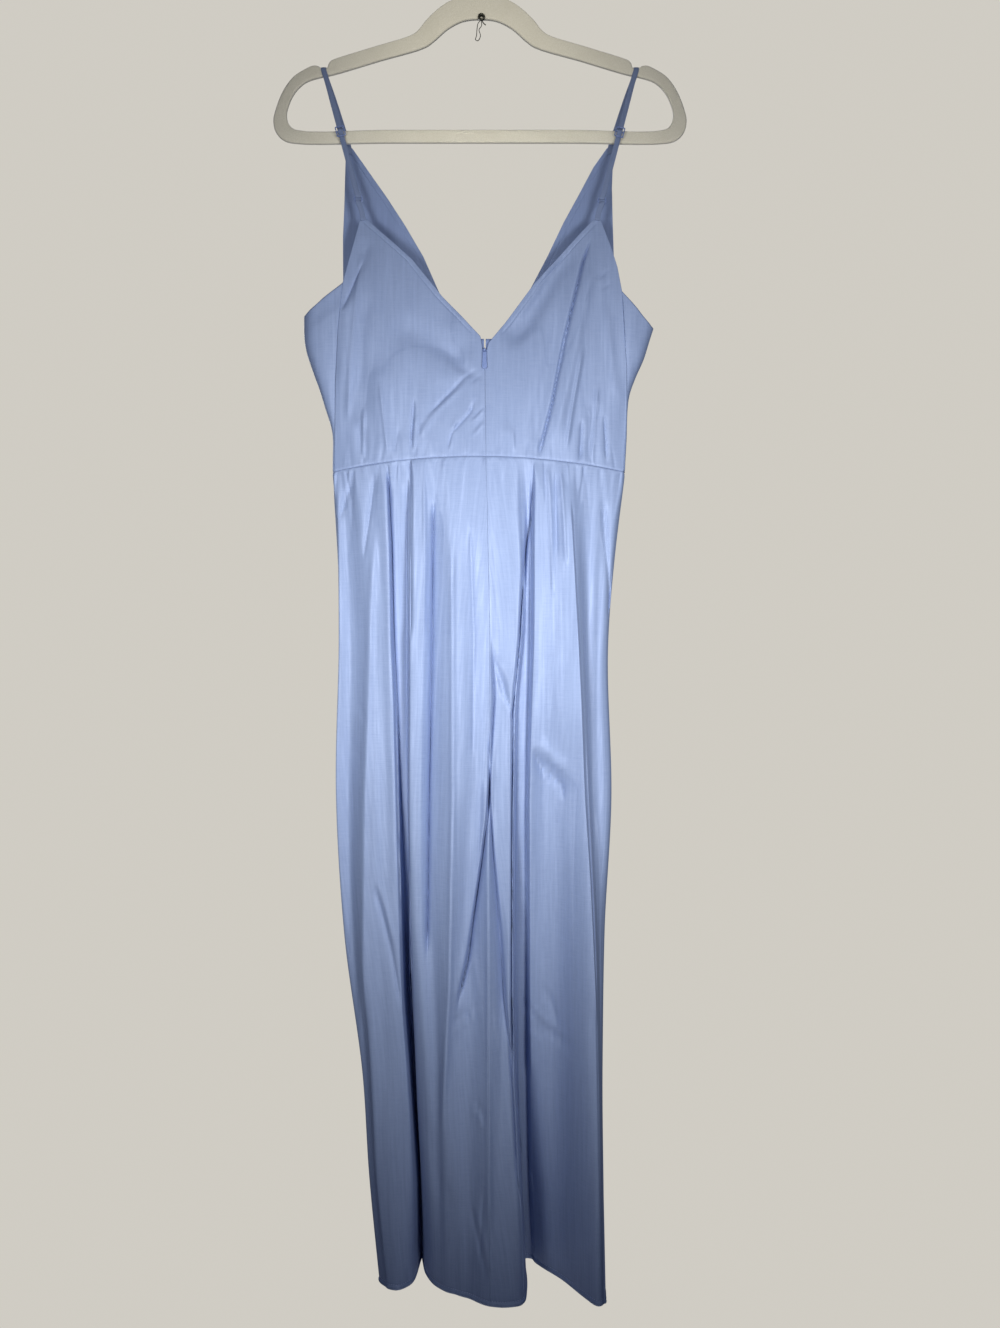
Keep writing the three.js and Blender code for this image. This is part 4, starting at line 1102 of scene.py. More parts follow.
# Creases in the same form as the bodice's
SKIRT_LINES = [
    ("valley", 3.0, 2.2, 12, 476, 353.5, 481, 351.6, 522, 338),
    ("valley", 2.4, 2.0, 16, 470, 376, 481, 374, 560, 363),
    ("ridge", 2.0, 4, 60, 520, 376, 600, 371, 800, 364.5, 1060, 361),
    ("ridge", -2.2, 8, 60, 700, 352, 800, 351, 960, 354),
    ("valley", 3.4, 2.4, 18, 880, 372, 910, 381, 950, 391, 1010, 402),
    ("ridge", 1.4, 3, 18, 880, 378, 910, 386, 950, 396),
    ("valley", 1.6, 2, 10, 700, 355, 712, 362, 726, 368),
    ("valley", 1.4, 2, 10, 742, 352, 756, 360, 768, 364),
    ("right_step", 7.0, 5, 25, 466, 386, 495, 388, 542, 390, 640, 391.5, 702, 394.5, 800, 396.5,
     900, 399.6, 998, 402.5, 1062, 408, 1123, 412, 1180, 416, 1268, 420, 1300, 421),
    ("left_step", 7.0, 6, 8, 458, 411, 640, 409, 980, 409, 1062, 412.9, 1143, 418, 1180, 420,
     1265, 423, 1300, 424),
    ("valley", 7.0, 1.4, 30, 495, 434, 515, 433, 640, 432, 800, 429, 960, 427),
    ("valley", 5.0, 1.5, 24, 462, 387.5, 500, 389, 542, 391, 640, 393, 702, 395.5, 800, 398,
     900, 401, 998, 404),
    ("valley", 4.0, 1.5, 20, 458, 411.5, 500, 411.5, 560, 411, 640, 410.5),
    ("valley", 6.5, 1.4, 30, 640, 492, 698, 494.5, 742, 492, 786, 489.7, 815, 488, 858, 483,
     893, 477.5, 931, 471.6, 960, 468, 1010, 456),
    ("valley", 5.5, 1.3, 24, 800, 490.5, 851, 493.5, 902, 498, 931, 500.7, 998, 504.7,
     1041, 509.8, 1102, 513.9, 1180, 518),
    ("valley", 7.0, 1.4, 30, 466, 535, 519, 531.5, 546, 526, 600, 521.6, 640, 519.5, 669, 516.7,
     698, 513.8, 716, 512.4, 814, 512.4, 931, 512, 1010, 511.5, 1080, 512),
    ("ridge", 1.6, 2.2, 20, 468, 424, 560, 425, 640, 424),
    ("ridge", 2.2, 3.0, 60, 520, 452, 800, 452.6, 984, 449.6, 1082, 444.5, 1150, 441),
    ("ridge", -2.4, 9, 60, 780, 466, 900, 462, 1000, 455),
    ("valley", 2.0, 2.0, 20, 520, 470, 640, 474, 760, 473),
    ("right_step", 6.5, 6, 24, 770, 489.5, 820, 486, 878, 478, 943, 469, 1010, 456),
    ("left_step", 6.5, 5, 30, 720, 489, 806, 491, 851, 493.5, 923, 499.6, 998, 504.7, 1041, 509.8,
     1102, 513.9, 1180, 518, 1210, 522.8, 1310, 524.7),
    ("ridge", 2.4, 3.0, 40, 800, 488.5, 1040, 488.5, 1180, 489, 1250, 490),
    ("right_step", 5.5, 5, 40, 500, 526.5, 542, 525, 640, 519, 702, 513, 714, 512, 1000, 511,
     1080, 512),
    ("valley", 4.6, 1.6, 12, 655, 493, 668, 497, 677, 499.6, 700, 507, 714, 511.8, 722, 513),
    ("ridge", 1.6, 2.4, 10, 660, 500, 672, 506, 690, 512),
    ("valley", 2.0, 2.0, 8, 580, 486, 586, 492, 592, 500),
    ("valley", 1.8, 2.0, 8, 590, 496, 586, 490, 600, 484),
    ("left_step", 6.5, 5, 20, 458, 534, 640, 533, 702, 531, 800, 529, 1010, 529, 1080, 530),
    ("ridge", -14, 24, 90, 700, 560, 800, 562, 1000, 566, 1200, 568, 1400, 566),
    ("valley", 5.0, 3.0, 12, 748, 533, 762, 538, 771, 543, 778, 554, 788, 562, 800, 566),
    ("ridge", 4.0, 7, 16, 735, 538, 755, 548, 765, 560, 778, 570),
    ("valley", 2.0, 2.0, 10, 838, 533, 842, 545, 846, 556),
    ("right_step", 8.0, 6, 30, 500, 571, 530, 573, 640, 579, 702, 582, 800, 586, 882, 591.4,
     943, 594.5, 1030, 599),
    ("valley", 3.4, 2.2, 14, 500, 603, 511, 604, 583, 609, 620, 610),
    ("ridge", 1.6, 2.0, 14, 464, 548, 520, 551, 600, 553),
    ("ridge", 1.6, 2.0, 14, 466, 560, 520, 564, 570, 566),
    ("valley", 2.4, 2.0, 16, 468, 555, 560, 557),
    ("valley", 2.6, 2.4, 16, 992, 520, 1012, 532, 1030, 546, 1050, 566, 1062, 580),
    ("ridge", 1.8, 3, 14, 1000, 526, 1020, 542, 1036, 560),
    ("valley", 2.2, 2.2, 14, 1016, 518, 1026, 534, 1046, 552),
    ("valley", 2.0, 2.2, 12, 985, 540, 1000, 550, 1034, 560),
    ("valley", 2.2, 2.2, 10, 1003, 485, 1015, 468, 1030, 444),
    ("ridge", 1.4, 2.4, 10, 1008, 482, 1020, 466, 1034, 448),
    ("valley", 1.8, 2.0, 8, 1098, 472, 1110, 480, 1126, 488),
    ("ridge", 1.4, 2.2, 8, 1104, 468, 1116, 478, 1128, 482),
    ("valley", 1.8, 2.2, 12, 1142, 529, 1170, 531, 1198, 537),
    ("valley", 2.4, 2.0, 14, 1204, 470, 1240, 478, 1282, 488),
    ("ridge", 1.6, 2.2, 14, 1206, 475, 1240, 484, 1282, 494),
    ("valley", 2.0, 2.0, 12, 1190, 484, 1220, 482, 1262, 480),
    ("ridge", -1.6, 8, 20, 1120, 430, 1170, 436, 1220, 452),
]
SKIRT_FRONT_LINES = [
    ("valley", 3.0, 2.4, 20, 470, 372, 560, 370, 700, 366),
    ("ridge", 2.2, 5, 50, 520, 392, 700, 388, 980, 392),
    ("valley", 4.0, 2.6, 30, 480, 418, 640, 416, 900, 420, 1130, 424),
    ("ridge", 1.8, 3, 16, 468, 440, 560, 443),
    ("valley", 2.4, 2.2, 20, 466, 455, 600, 452, 720, 447),
    ("ridge", -6, 18, 80, 620, 470, 900, 476, 1200, 470, 1330, 468),
    ("ridge", 3.0, 6, 70, 760, 500, 1000, 506, 1320, 502),
    ("valley", 3.0, 2.2, 14, 470, 520, 560, 517, 620, 512),
    ("ridge", 1.6, 2.6, 14, 466, 534, 540, 536),
    ("valley", 3.6, 2.4, 30, 640, 540, 860, 546, 1080, 553),
    ("ridge", 5, 16, 80, 820, 566, 1100, 572, 1400, 575),
    ("valley", 2.2, 2.2, 16, 470, 566, 600, 572, 700, 574),
    ("ridge", 1.6, 3, 16, 478, 590, 580, 597),
    ("valley", 2.4, 2.4, 12, 1010, 430, 1040, 452, 1062, 470),
    ("valley", 2.0, 2.2, 12, 1140, 520, 1170, 534, 1190, 552),
]
# The flat bottoms of two pleats, from the top: down, left and right as the camera sees them,
# and depth in mm
RECESSES = [
    [(462, 387, 410, -31), (542, 390.5, 409, -30), (640, 391.5, 409, -29),
     (702, 394.8, 409, -28), (800, 397, 409.5, -24), (900, 400, 411, -18),
     (998, 402, 413, -12), (1062, 407, 416, -6), (1123, 411, 418.5, -1), (1200, 414, 421, 2)],
    [(462, 529, 534, -35), (542, 526, 533, -34), (640, 520, 533, -33), (702, 514, 531, -33),
     (800, 512.5, 529, -32), (900, 512, 528.5, -27), (1000, 512, 529, -19),
     (1080, 514, 530, -10), (1180, 520, 532, 0), (1320, 527, 538, 10)],
]
SKIRT_GATHERS = gather_list(120, 0, place[0, -1], (14, 110), (0.2, 0.8), (1.1, 2.6), 5)
on_back = (fold_at > 0.5) & (fold_at < last_back - 0.5)
skirt = np.where(on_back[None, :, None], recess(RECESSES, skirt), skirt)
skirt_out = loop_normals(skirt)
over_hem = skirt[..., 2] - HEM_Z
hem_roll = (0.9 * np.exp(-((over_hem - 2.2) / 1.9) ** 4)
            - 0.5 * np.exp(-((over_hem - 5) / 0.9) ** 2))
skirt_detail = gathers(SKIRT_GATHERS, place, drop) + edge_roll(drop) + hem_roll
loop = place / place[0, -1] * 2 * math.pi
soft = np.zeros_like(drop)
wave_rng = np.random.RandomState(31)
for _ in range(16):
    turns = wave_rng.randint(9, 34)
    rise = 2 * math.pi / wave_rng.uniform(260, 900) * wave_rng.choice([-1, 1])
    soft += np.cos(turns * loop + rise * drop + wave_rng.uniform(0, 2 * math.pi)) / 4
skirt_detail += 0.4 * soft * smooth(drop / 60)
skirt_points = skirt + skirt_out * skirt_detail[..., None]
for way, lines, shown in ((-1, SKIRT_LINES, on_back), (1, SKIRT_FRONT_LINES, ~on_back)):
    facing = smooth((way * skirt_out[..., 1] - 0.1) / 0.4) * shown
    skirt_points[..., 1] += way * creases(lines, skirt) * facing
skirt_out = loop_normals(skirt_points)

centre = FOLD_NUMBER["centre_seam"] * BACK_STEPS
side = last_back * BACK_STEPS
SKIRT_PANELS = [
    ("left", "skirt_back_left", slice(0, centre + 1)),
    ("right", "skirt_back_right", slice(centre, side + 1)),
    ("plain", "skirt_front", slice(side, len(fold_at))),
]
for name, replaced, part in SKIRT_PANELS:
    obj = cloth_shell(f"skirt_{name}", skirt_points[:, part], skirt_out[:, part])
    finish_piece(obj, [satin, satin_reverse_painted_shade], "satin", [replaced])
    sheets.append((obj, [skirt_points[:, part]]))

# Hem


def stitches(name, path, out, pitch=2.6, length=1.7, thick=0.32, sides=5):
    """Short threads along a path in mm, as one mesh of small capped prisms."""
    sections = [(0, 0.35, 0.02), (0.2, 1, 0.22), (0.8, 1, 0.22), (1, 0.35, 0.02)]
    steps = run_length(path)
    vertices, faces = [], []
    for middle in np.arange(pitch, steps[-1] - pitch, pitch):
        ends = np.array([np.interp([middle - length / 2, middle + length / 2], steps, path[:, k])
                         for k in range(3)]).T
        normal = np.array([np.interp(middle, steps, out[:, k]) for k in range(3)])
        along = ends[1] - ends[0]
        side = np.cross(along, normal)
        side /= max(np.linalg.norm(side), 1e-9)
        first = len(vertices)
        for share, size, proud in sections:
            centre = ends[0] + along * share + normal * proud
            for turn in range(sides):
                angle = 2 * math.pi * turn / sides
                vertices.append(centre + size * thick * (math.cos(angle) * side
                                                         + math.sin(angle) * normal))
        last = first + sides * (len(sections) - 1)
        for low in range(first, last, sides):
            for turn in range(sides):
                here, beside = low + turn, low + (turn + 1) % sides
                faces.append((here, beside, beside + sides, here + sides))
        faces.append(tuple(reversed(range(first, first + sides))))
        faces.append(tuple(range(last, last + sides)))
    return finish_piece(make_mesh(name, vertices, faces), [thread], "satin")


hem_row = int(np.argmin(np.abs(heights - (HEM_Z + 5))))
sewn_with = {
    f"skirt_{name}": [stitches(f"hem_stitches_{name}", skirt_points[hem_row, part],
                               skirt_out[hem_row, part])]
    for name, _, part in SKIRT_PANELS}
for obj, parts in sheets:
    width, length, area = sheet_size(parts)
    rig.sheet(obj, flat=(width, length), held="hung", rests_on=["hanger_body"], area=area,
             with_pieces=sewn_with.get(obj.name, []))

# Hanger


def swept(name, splines, bevel, flat=None, steps=4):
    """A round bar along (points, closed) lists in mm, or a plate with rounded edges inside
    them, `flat` thick."""
    curve = bpy.data.curves.new(name, "CURVE")
    curve.dimensions = "2D" if flat else "3D"
    for points, closed in splines:
        spline = curve.splines.new("POLY")
        spline.points.add(len(points) - 1)
        places = np.zeros((len(points), 4))
        places[:, :points.shape[1]] = points * MM
        places[:, 3] = 1
        spline.points.foreach_set("co", places.ravel())
        spline.use_cyclic_u = closed
    curve.bevel_depth = bevel * MM
    curve.bevel_resolution = steps
    if flat:
        curve.fill_mode = "BOTH"
        curve.extrude = (flat / 2 - bevel) * MM
        curve.offset = -bevel * MM
    else:
        curve.fill_mode = "FULL"
        curve.use_fill_caps = True
    holder = bpy.data.objects.new(name, curve)
    bpy.context.collection.objects.link(holder)
    bpy.context.view_layer.update()
    made = bpy.data.meshes.new_from_object(
        holder.evaluated_get(bpy.context.evaluated_depsgraph_get()))
    bpy.data.objects.remove(holder)
    bpy.data.curves.remove(curve)
    rework(made, lambda work: merge_near(work, 1e-6), face_out)
    made.polygons.foreach_set("use_smooth", np.ones(len(made.polygons), dtype=bool))
    made.set_sharp_from_angle(angle=math.radians(50))
    made.update()
    made.name = name
    return bpy.data.objects.new(name, made)


def turned(obj, place=(0, 0, 0), lean=0.0, tilt=0.0):
    """Stands a plate up in the hanger's plane, leans it in that plane and puts it in place."""
    obj.data.transform(Matrix.Translation(Vector(place) * MM)
                       @ Matrix.Rotation(lean, 4, "Y")
                       @ Matrix.Rotation(math.radians(90) + tilt, 4, "X"))
    return obj


def dense(points, per_span, closed=False):
    """A smooth curve through the points, with each span cut in `per_span` steps."""
    points = np.asarray(points, float)
    spans = len(points) if closed else len(points) - 1
    at = np.arange(spans * per_span + (0 if closed else 1)) / per_span
    return rounded(points, at, closed)


HANGER_TOP = -80
HANGER_OUTSIDE = [
    (0, -80), (18, -82), (34, -88), (48, -98), (59, -109), (66, -118), (73, -123.5),
    (115, -136.8), (157, -150), (160.5, -151.8), (163, -155), (164.4, -159), (168, -160.5),
    (171.6, -159), (175, -157.2), (180, -157), (189, -161), (201, -169), (212, -184),
    (220, -204), (222.5, -216), (220, -228), (213, -236), (202, -240), (100, -240), (0, -240)]
HANGER_INSIDE = [
    (0, -107), (18, -109), (34, -117), (49, -130), (59, -137), (108, -151.6), (158, -166.5),
    (170, -169), (188, -175), (200, -187), (207, -203), (208, -212), (205, -221), (198, -226),
    (100, -226), (0, -226)]


def both_sides(half):
    """A closed outline from its right half, which starts and ends on the middle."""
    half = np.array(half, float)
    return np.concatenate([half, half[-2:0:-1] * [-1, 1]])


hanger = swept("hanger_body", [(dense(both_sides(HANGER_OUTSIDE), 5, True), True),
                               (dense(both_sides(HANGER_INSIDE), 5, True), True)],
               1.9, flat=HANGER_THICK, steps=4)
finish_piece(turned(hanger), [flock], "velvet", ["hanger_frame"])

WIRE_RADIUS = 1.9
HOOK_RADIUS = 19
hook_points = [(0, 0, HANGER_TOP + 0.3), (0, 0, HANGER_TOP + 12), (0, 0, HANGER_TOP + 24),
               (6, 0, -45), (15, 0, -36)]
for degrees in range(-22, 197, 14):
    angle = math.radians(degrees)
    hook_points.append(((HOOK_RADIUS + WIRE_RADIUS) * math.cos(angle), 0,
                        -HOOK_RADIUS + (HOOK_RADIUS + WIRE_RADIUS) * math.sin(angle)))
hook = swept("hook_wire", [(dense(hook_points, 8), False)], WIRE_RADIUS, steps=6)
finish_piece(hook, [steel], "steel", ["hanger_hook"])

COLLAR_SIDES = 48
collar_low = HANGER_TOP + 0.3
collar_section = dense([(2.2, 0), (4.6, 0), (5.4, 0.5), (5.5, 1.4), (5.5, 4.2), (5.2, 5.2),
                        (4.4, 5.9), (3.2, 6), (2.2, 6), (2.2, 3)], 4, True)
vertices = [(r * math.cos(a), r * math.sin(a), collar_low + h)
            for a in round_angles(COLLAR_SIDES) for r, h in collar_section]
here = np.arange(len(vertices)).reshape(COLLAR_SIDES, -1)
onward = np.roll(here, -1, axis=0)
faces = np.stack([here, onward, np.roll(onward, -1, axis=1), np.roll(here, -1, axis=1)], axis=-1)
finish_piece(make_mesh("collar_ring", vertices, faces.reshape(-1, 4).tolist()), [steel], "steel",
             ["hanger_collar"])

# The wire wound into a knot at the middle of the hanger, with a thin loop and a tail below it
KNOT_X = 1.7
KNOT_Z = -106.9
KNOT_RADIUS = 2.7
LOOP = [(-0.7, -2.1), (-3.8, -6.4), (-4.9, -12.9), (-5.4, -19.3), (-6.5, -23.6), (-3.8, -24.7),
        (-1.1, -19.3), (-2.7, -12.9), (0, -8.6), (-0.3, -2.6)]
TAIL = [(0.8, -2.6), (1.6, -5.3), (4.5, -7.9)]


def below_knot(name, places, radius):
    """A wire along places right of and above the knot's middle, on its front."""
    path = np.array([(KNOT_X + right, -HANGER_THICK / 2 - 1, KNOT_Z + up) for right, up in places])
    return swept(name, [(dense(path, 6), False)], radius)


knot_turns = np.linspace(0, 5 * math.pi, 61)
knot = np.stack([KNOT_X + KNOT_RADIUS * np.cos(knot_turns),
                 -HANGER_THICK / 2 - lerp(0.9, 2.9, knot_turns / knot_turns[-1]),
                 KNOT_Z + KNOT_RADIUS * np.sin(knot_turns)], axis=-1)
finish_piece(joined_pieces("wire_knot", [
    swept("knot", [(knot, False)], 1.2),
    below_knot("loop", LOOP, 0.4),
    below_knot("tail", TAIL, 0.55),
]), [dark_wire], "steel")

# Straps


def ribbon(name, path, width, thick):
    """A narrow folded strip with rounded edges along a path in mm."""
    path = dense(path, 4)
    ahead = np.gradient(path, axis=0)
    ahead /= np.linalg.norm(ahead, axis=1, keepdims=True)
    across = np.array([1.0, 0, 0]) - ahead * ahead[:, :1]
    across /= np.linalg.norm(across, axis=1, keepdims=True)
    out = np.cross(across, ahead)
    angles = round_angles(20)
    wide = np.sign(np.cos(angles)) * np.abs(np.cos(angles)) ** 0.55 * width / 2
    deep = np.sign(np.sin(angles)) * np.abs(np.sin(angles)) ** 0.8 * thick / 2
    groove = 1 - 0.22 * np.exp(-((np.abs(wide) - width * 0.33) / 0.35) ** 2)
    points = (path[:, None] + across[:, None] * wide[None, :, None]
              + out[:, None] * (deep * groove)[None, :, None])
    rows, columns = points.shape[:2]
    index = np.arange(rows * columns).reshape(rows, columns)
    beside = np.roll(index, -1, axis=1)
    faces = np.stack([index[:-1], beside[:-1], beside[1:], index[1:]], axis=-1)
    faces = faces.reshape(-1, 4).tolist()
    faces.append(index[0, ::-1].tolist())
    faces.append(index[-1].tolist())
    uv = np.stack(np.broadcast_arrays(wide, run_length(path)[:, None]), axis=-1) * MM
    obj = make_mesh(name, points.reshape(-1, 3), faces, uv.reshape(-1, 2))
    rework(obj.data, face_out)
    return obj


def bend(centre, radius, start, stop, steps):
    """Points of an arc in the plane of Y and Z, between angles in degrees."""
    angles = np.radians(lerp(start, stop, np.linspace(0, 1, steps + 1)))
    return [(centre[0], centre[1] + radius * math.cos(a), centre[2] + radius * math.sin(a))
            for a in angles]


def strap_path(notch, tip, ring, **_):
    """A strap's way: up from the front's tip behind the bar, over the notch, down in front through
    the slider, round the ring and up behind itself to the slider's middle bar."""
    clear = HANGER_THICK / 2 + STRAP_THICK / 2 + SEAM_GAP

    def down(y, z):
        return (lerp(notch[0], ring[0], (z - notch[1]) / (ring[1] - notch[1])), y, z)

    def behind_bar(y, z):
        return (lerp(notch[0], tip[0], (z - notch[1]) / (tip[1] - notch[1])), y, z)

    slider_z = lerp(notch[1], ring[1], SLIDER_SHARE)
    pitch = (SLIDER["height"] - SLIDER["bar"]) / 2
    weave = SLIDER["thick"] / 2 + SEAM_GAP + STRAP_THICK / 2 + 0.5
    woven = [down(SLIDER_Y - weave * math.cos(math.pi * k / 6), slider_z - k / 6 * pitch)
             for k in range(-6, 7)]
    wrap = RING_WIRE + SEAM_GAP + STRAP_THICK / 2 + 0.15
    ring_top = ring[1] + math.sqrt(RING_RADIUS ** 2 - (STRAP_WIDTH / 2) ** 2)
    behind = STRAP_THICK + SEAM_GAP + 0.1
    foot_y = float(front_y(np.array(tip[0]), np.array(tip[1])))
    return [
        (tip[0], foot_y - STRAP_THICK / 2 - 0.6, tip[1] - 7),
        (tip[0], foot_y - STRAP_THICK / 2 - 0.6, tip[1] - 1),
        behind_bar(clear + 2.4, -236), behind_bar(clear + 1.2, -224),
        behind_bar(clear + 0.4, -190),
        *bend((notch[0], 0, notch[1] - 1.9), clear, 0, 180, 8),
        down(-clear - 0.6, -176), down(-clear - 1.6, -200),
        *woven,
        down(SLIDER_Y + weave - 1.6, -255), down(SLIDER_Y + weave - 2.8, -275),
        down(RING_Y - wrap + 0.3, ring_top + 6),
        *bend((ring[0], RING_Y, ring_top), wrap, 180, 360, 6),
        down(RING_Y + wrap - 0.2, ring_top + 6),
        down(SLIDER_Y + weave - 2.8 + behind + 0.6, -275),
        down(SLIDER_Y + weave - 1.6 + behind, -255),
        down(SLIDER_Y + weave + behind, slider_z - pitch),
        down(SLIDER_Y + weave + 0.5, slider_z - pitch / 2),
        down(SLIDER_Y + weave, slider_z),
    ]


def tab_path(ring, peak, **_):
    """A tab's way: up from the back's peak, round the ring and down again."""
    wrap = RING_WIRE + SEAM_GAP + STRAP_THICK / 2 + 0.15
    ring_foot = ring[1] - math.sqrt(RING_RADIUS ** 2 - (STRAP_WIDTH / 2) ** 2)
    foot = float(back_y(np.array(peak[0]), np.array(peak[1]))) + 0.5
    stand = (STRAP_THICK + SEAM_GAP) / 2
    middle = (lerp(peak[0], ring[0], 0.4), lerp(peak[1], ring_foot, 0.5))
    low_z = peak[1] - 1.5
    return [
        (peak[0], foot - stand, low_z), (middle[0], foot - stand - 0.3, middle[1]),
        *bend((ring[0], RING_Y, ring_foot), wrap, 180, 0, 6),
        (middle[0], foot + stand + 0.3, middle[1]), (peak[0], foot + stand, low_z),
    ]


def rounded_rectangle(width, height, corner, steps=5):
    points = []
    for sx, sz, first in ((1, 1, 0), (-1, 1, 90), (-1, -1, 180), (1, -1, 270)):
        for k in range(steps + 1):
            angle = math.radians(first + 90 * k / steps)
            points.append((sx * (width / 2 - corner) + corner * math.cos(angle),
                           sz * (height / 2 - corner) + corner * math.sin(angle)))
    return np.array(points)


for side_name, places in STRAPS.items():
    strap = ribbon(f"shoulder_strap_{side_name}", strap_path(**places), STRAP_WIDTH - 0.4,
                   STRAP_THICK)
    finish_piece(strap, [strap_satin], "strap", [f"strap_{side_name}"])
    tab = ribbon(f"ring_tab_{side_name}", tab_path(**places), STRAP_WIDTH - 0.6, STRAP_THICK)
    finish_piece(tab, [strap_satin], "strap", [f"strap_tab_{side_name}"])

    notch, ring_at = places["notch"], places["ring"]
    lean = math.atan2(ring_at[0] - notch[0], notch[1] - ring_at[1])
    window_height = (SLIDER["height"] - 3 * SLIDER["bar"]) / 2
    window = rounded_rectangle(SLIDER["width"] - 2 * SLIDER["bar"], window_height, 0.7)
    rise = np.array([0, (window_height + SLIDER["bar"]) / 2])
    plate = swept(f"slider_{side_name}", [
        (rounded_rectangle(SLIDER["width"], SLIDER["height"], 1.4), True),
        (window + rise, True), (window - rise, True),
    ], 0.35, flat=SLIDER["thick"], steps=3)
    turned(plate, (lerp(notch[0], ring_at[0], SLIDER_SHARE), SLIDER_Y,
                   lerp(notch[1], ring_at[1], SLIDER_SHARE)), -lean)
    finish_piece(plate, [enamel], "fitting", [f"strap_slider_{side_name}"])

    hoop = round_angles(48)
    circle = np.stack([ring_at[0] + RING_RADIUS * np.cos(hoop), np.full(len(hoop), RING_Y),
                       ring_at[1] + RING_RADIUS * np.sin(hoop)], axis=-1)
    hoop_piece = swept(f"ring_{side_name}", [(circle, True)], RING_WIRE, steps=5)
    finish_piece(hoop_piece, [enamel], "fitting", [f"strap_ring_{side_name}"])

# Zip

PULL_AT = (5.3, -27.746, -471)
PULL_THICK = 1.2
PULL_TILT = 8
EYELET_RADIUS = 2.1
EYELET_WIRE = 0.55

half_outline = [(0, -21), (1.5, -20.7), (2.5, -19.5), (2.7, -17.8), (2.45, -14), (2.2, -9),
                (2.15, -4), (2.1, -1), (2.0, 0.2), (1.6, 0.65), (0, 0.7)]
pull_outline = both_sides(half_outline)
pull_window = rounded_rectangle(2.3, 1.7, 0.45) + [0, -1.6]
pull_tab = swept("pull_tab", [(dense(pull_outline, 4, True), True), (pull_window, True)],
                 0.42, flat=PULL_THICK, steps=4)
turned(pull_tab, PULL_AT, 0, -math.radians(PULL_TILT))
finish_piece(pull_tab, [enamel], "fitting", ["zip_pull"], "zip_pull")


def block(name, width, depth, height, corner, behind, above):
    """A block with rounded edges, centred behind and above the pull's axis."""
    made = swept(name, [(rounded_rectangle(width, height, corner), True)], 0.3, flat=depth,
                 steps=3)
    return turned(made, (PULL_AT[0], PULL_AT[1] + behind, PULL_AT[2] + above))


eyelet_turns = round_angles(32)
eyelet_middle = EYELET_RADIUS - EYELET_WIRE
eyelet_path = np.stack([0 * eyelet_turns, eyelet_middle * np.cos(eyelet_turns),
                        eyelet_middle * np.sin(eyelet_turns)], axis=-1)
eyelet = swept("eyelet", [(eyelet_path, True)], EYELET_WIRE)
eyelet.data.transform(Matrix.Translation(Vector(PULL_AT) * MM)
                      @ Matrix.Diagonal((1.27, 1, 1, 1)))
slider_body = joined_pieces("zip_slider_body", [
    eyelet,
    block("stem", 1.4, 4.6, 1.8, 0.4, EYELET_RADIUS + 1.8, 0),
    block("plate", 5.6, 2.4, 9, 1.8, EYELET_RADIUS + 4.8, -1.5),
    block("rib", 1.2, 0.9, 6, 0.5, EYELET_RADIUS + 6.2, -1.5),
])
finish_piece(slider_body, [enamel], "fitting", ["zip_slider"])

TAPE_BEHIND = 2.4
TAPE_THICK = 0.6
TAPE_INSIDE = 0.9
TAPE_OUTSIDE = 11
TAPE_TOP = -458
CHAIN_TOP = -476
CHAIN_PITCH = 1.35
COIL_OFFSET = 0.75
COIL_WIDE = 1.0
COIL_DEEP = 0.42
COIL_WIRE = 0.28


def beside_zip(offset, z):
    """A point on the back's outer face, an offset to the right of the zip."""
    if z > SKIRT_LEVELS[0]:
        x = edge_x(HALVES["left"]["neck"], min(z, ZIP_TOP_Z)) + offset
        return np.array([x, back_y(np.array(x), np.array(z)), z], dtype=float)
    levels = skirt_points[:, centre, 2]
    line = skirt_points[min(np.searchsorted(levels, z), len(levels) - 1)]
    arc = run_length(line)
    at = arc[centre] + offset
    return np.array([np.interp(at, arc, line[:, 0]), np.interp(at, arc, line[:, 1]), z])


tape_heights = np.linspace(ZIP_END_Z, TAPE_TOP, 90)
tape_parts = []
for offsets in (np.linspace(-TAPE_OUTSIDE, -TAPE_INSIDE, 9),
                np.linspace(TAPE_INSIDE, TAPE_OUTSIDE, 9)):
    grid = np.array([[beside_zip(offset, z) for offset in offsets] for z in tape_heights])
    grid[..., 1] = evened(grid[..., 1], 3)
    out = grid_normals(grid)
    weave = cloth_shell("tape", grid - out * TAPE_BEHIND, out, True, TAPE_THICK)
    use_materials(weave.data, 0)
    tape_parts.append(weave)

chain_turns = int((CHAIN_TOP - ZIP_END_Z - 4) / CHAIN_PITCH)
coil_depth = TAPE_BEHIND + TAPE_THICK + COIL_OFFSET
for turn_way, start in ((1, 0), (-1, 0.5)):
    path = []
    for k in range(chain_turns * 8):
        angle = 2 * math.pi * (k / 8 + start)
        middle = beside_zip(0, CHAIN_TOP - CHAIN_PITCH * k / 8)
        path.append(middle + [turn_way * (COIL_OFFSET + COIL_WIDE * math.cos(angle)),
                              coil_depth + COIL_DEEP * math.sin(angle), 0])
    coil = swept("coil", [(np.array(path), False)], COIL_WIRE, steps=1)
    use_materials(coil.data, 1)
    tape_parts.append(coil)
finish_piece(joined_pieces("zip_tape_chain", tape_parts), [tape_weave, enamel], "tape",
             ["zip_tape"])

# Stage and light

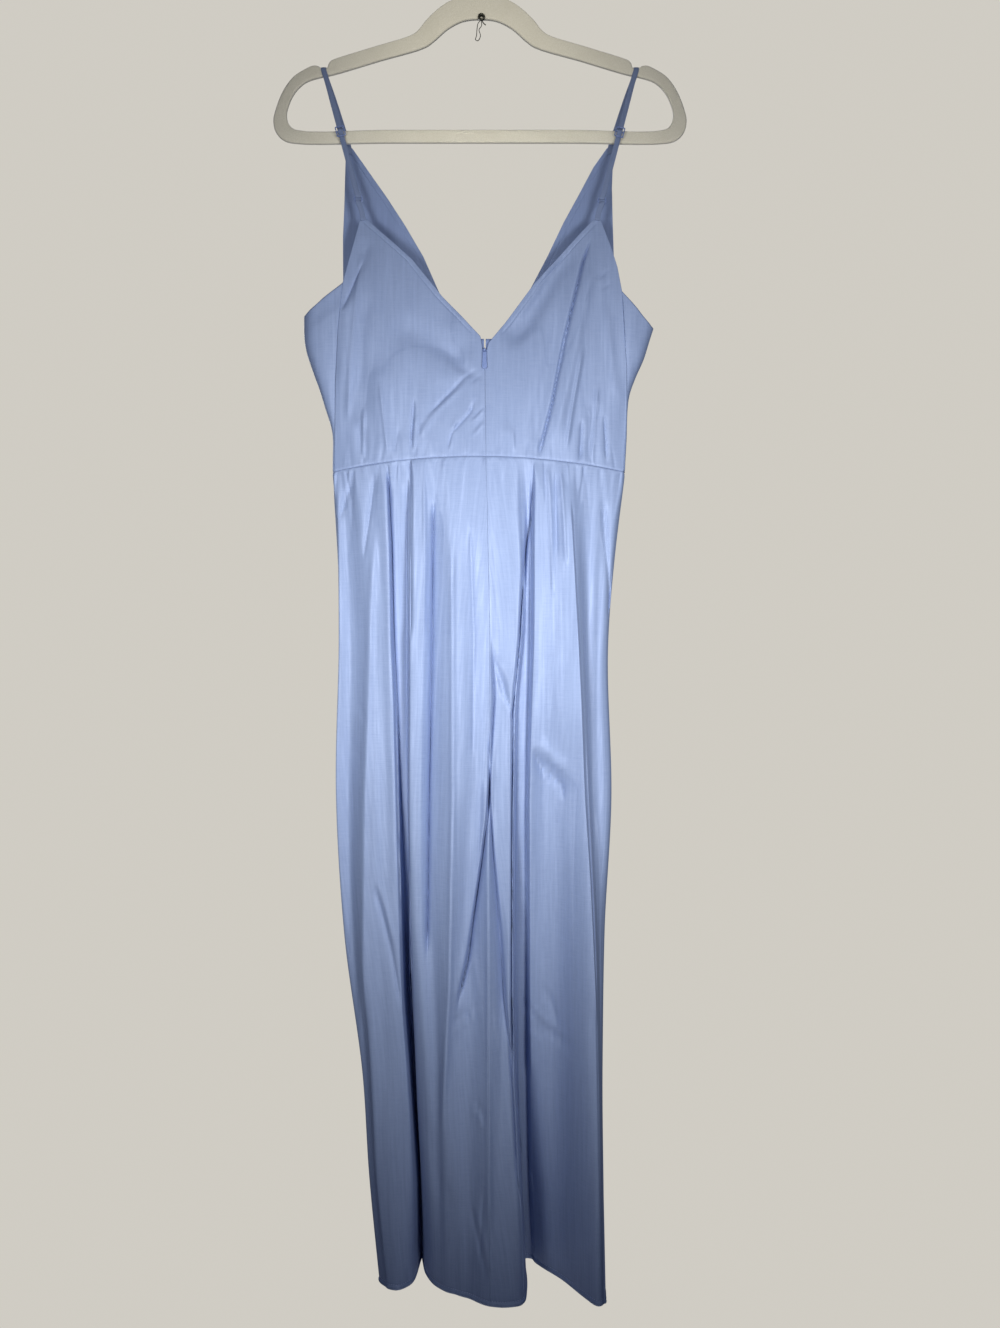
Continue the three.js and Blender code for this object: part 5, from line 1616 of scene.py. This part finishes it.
bpy.ops.mesh.primitive_circle_add(vertices=96, radius=1.0, fill_type="NGON",
                                  location=(0, 0, -2.2))
floor = bpy.context.active_object
floor.name = "floor"
floor.data.materials.append(pale_floor)
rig.stage(floor)


def area_light(name, at, aim, size, power, colour=(1, 1, 1), spread=180):
    data = bpy.data.lights.new(name, "AREA")
    data.shape = "DISK"
    data.size = size
    data.energy = power
    data.color = colour
    data.spread = math.radians(spread)
    obj = bpy.data.objects.new(name, data)
    obj.location = at
    obj.rotation_euler = (Vector(aim) - Vector(at)).to_track_quat("-Z", "Y").to_euler()
    bpy.context.collection.objects.link(obj)


for name, at, power in (("key_left", (-0.40, -0.86, -0.685), 1.54),
                        ("key_right", (0.46, -0.86, -0.705), 1.73)):
    area_light(name, at, (0.02, 0, -0.75), 0.26, power, (1, 0.985, 0.93), 80)
area_light("fill_back", (-0.6, 1.6, 0.2), (0, 0, -0.8), 1.2, 18)
area_light("hanger_light", (0, -0.9, -0.06), (0, 0, -0.10), 0.2, 0.125, (1, 0.96, 0.86), 34)
area_light("floor_light", (0, 0, -1.62), (0, 0, -2.2), 0.5, 2.6)

world = bpy.data.worlds.new("studio")
bpy.context.scene.world = world
world.use_nodes = True
nodes, links = world.node_tree.nodes, world.node_tree.links
background = nodes["Background"]
seen = nodes.new("ShaderNodeBackground")
background.inputs["Color"].default_value = (0.36, 0.50, 1, 1)
background.inputs["Strength"].default_value = 0.045
seen.inputs["Color"].default_value = (0.63, 0.605, 0.55, 1)
seen.inputs["Strength"].default_value = 1.0
blend = nodes.new("ShaderNodeMixShader")
links.new(nodes.new("ShaderNodeLightPath").outputs["Is Camera Ray"], blend.inputs["Fac"])
links.new(background.outputs["Background"], blend.inputs[1])
links.new(seen.outputs["Background"], blend.inputs[2])
links.new(blend.outputs["Shader"], nodes["World Output"].inputs["Surface"])
bpy.context.scene.view_settings.view_transform = "Standard"

json.dump({"cad": [list(map(float, v)) for v in cad_box],
           "visual": [list(map(float, v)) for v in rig.bounds()]},
          open("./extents.json", "w"))
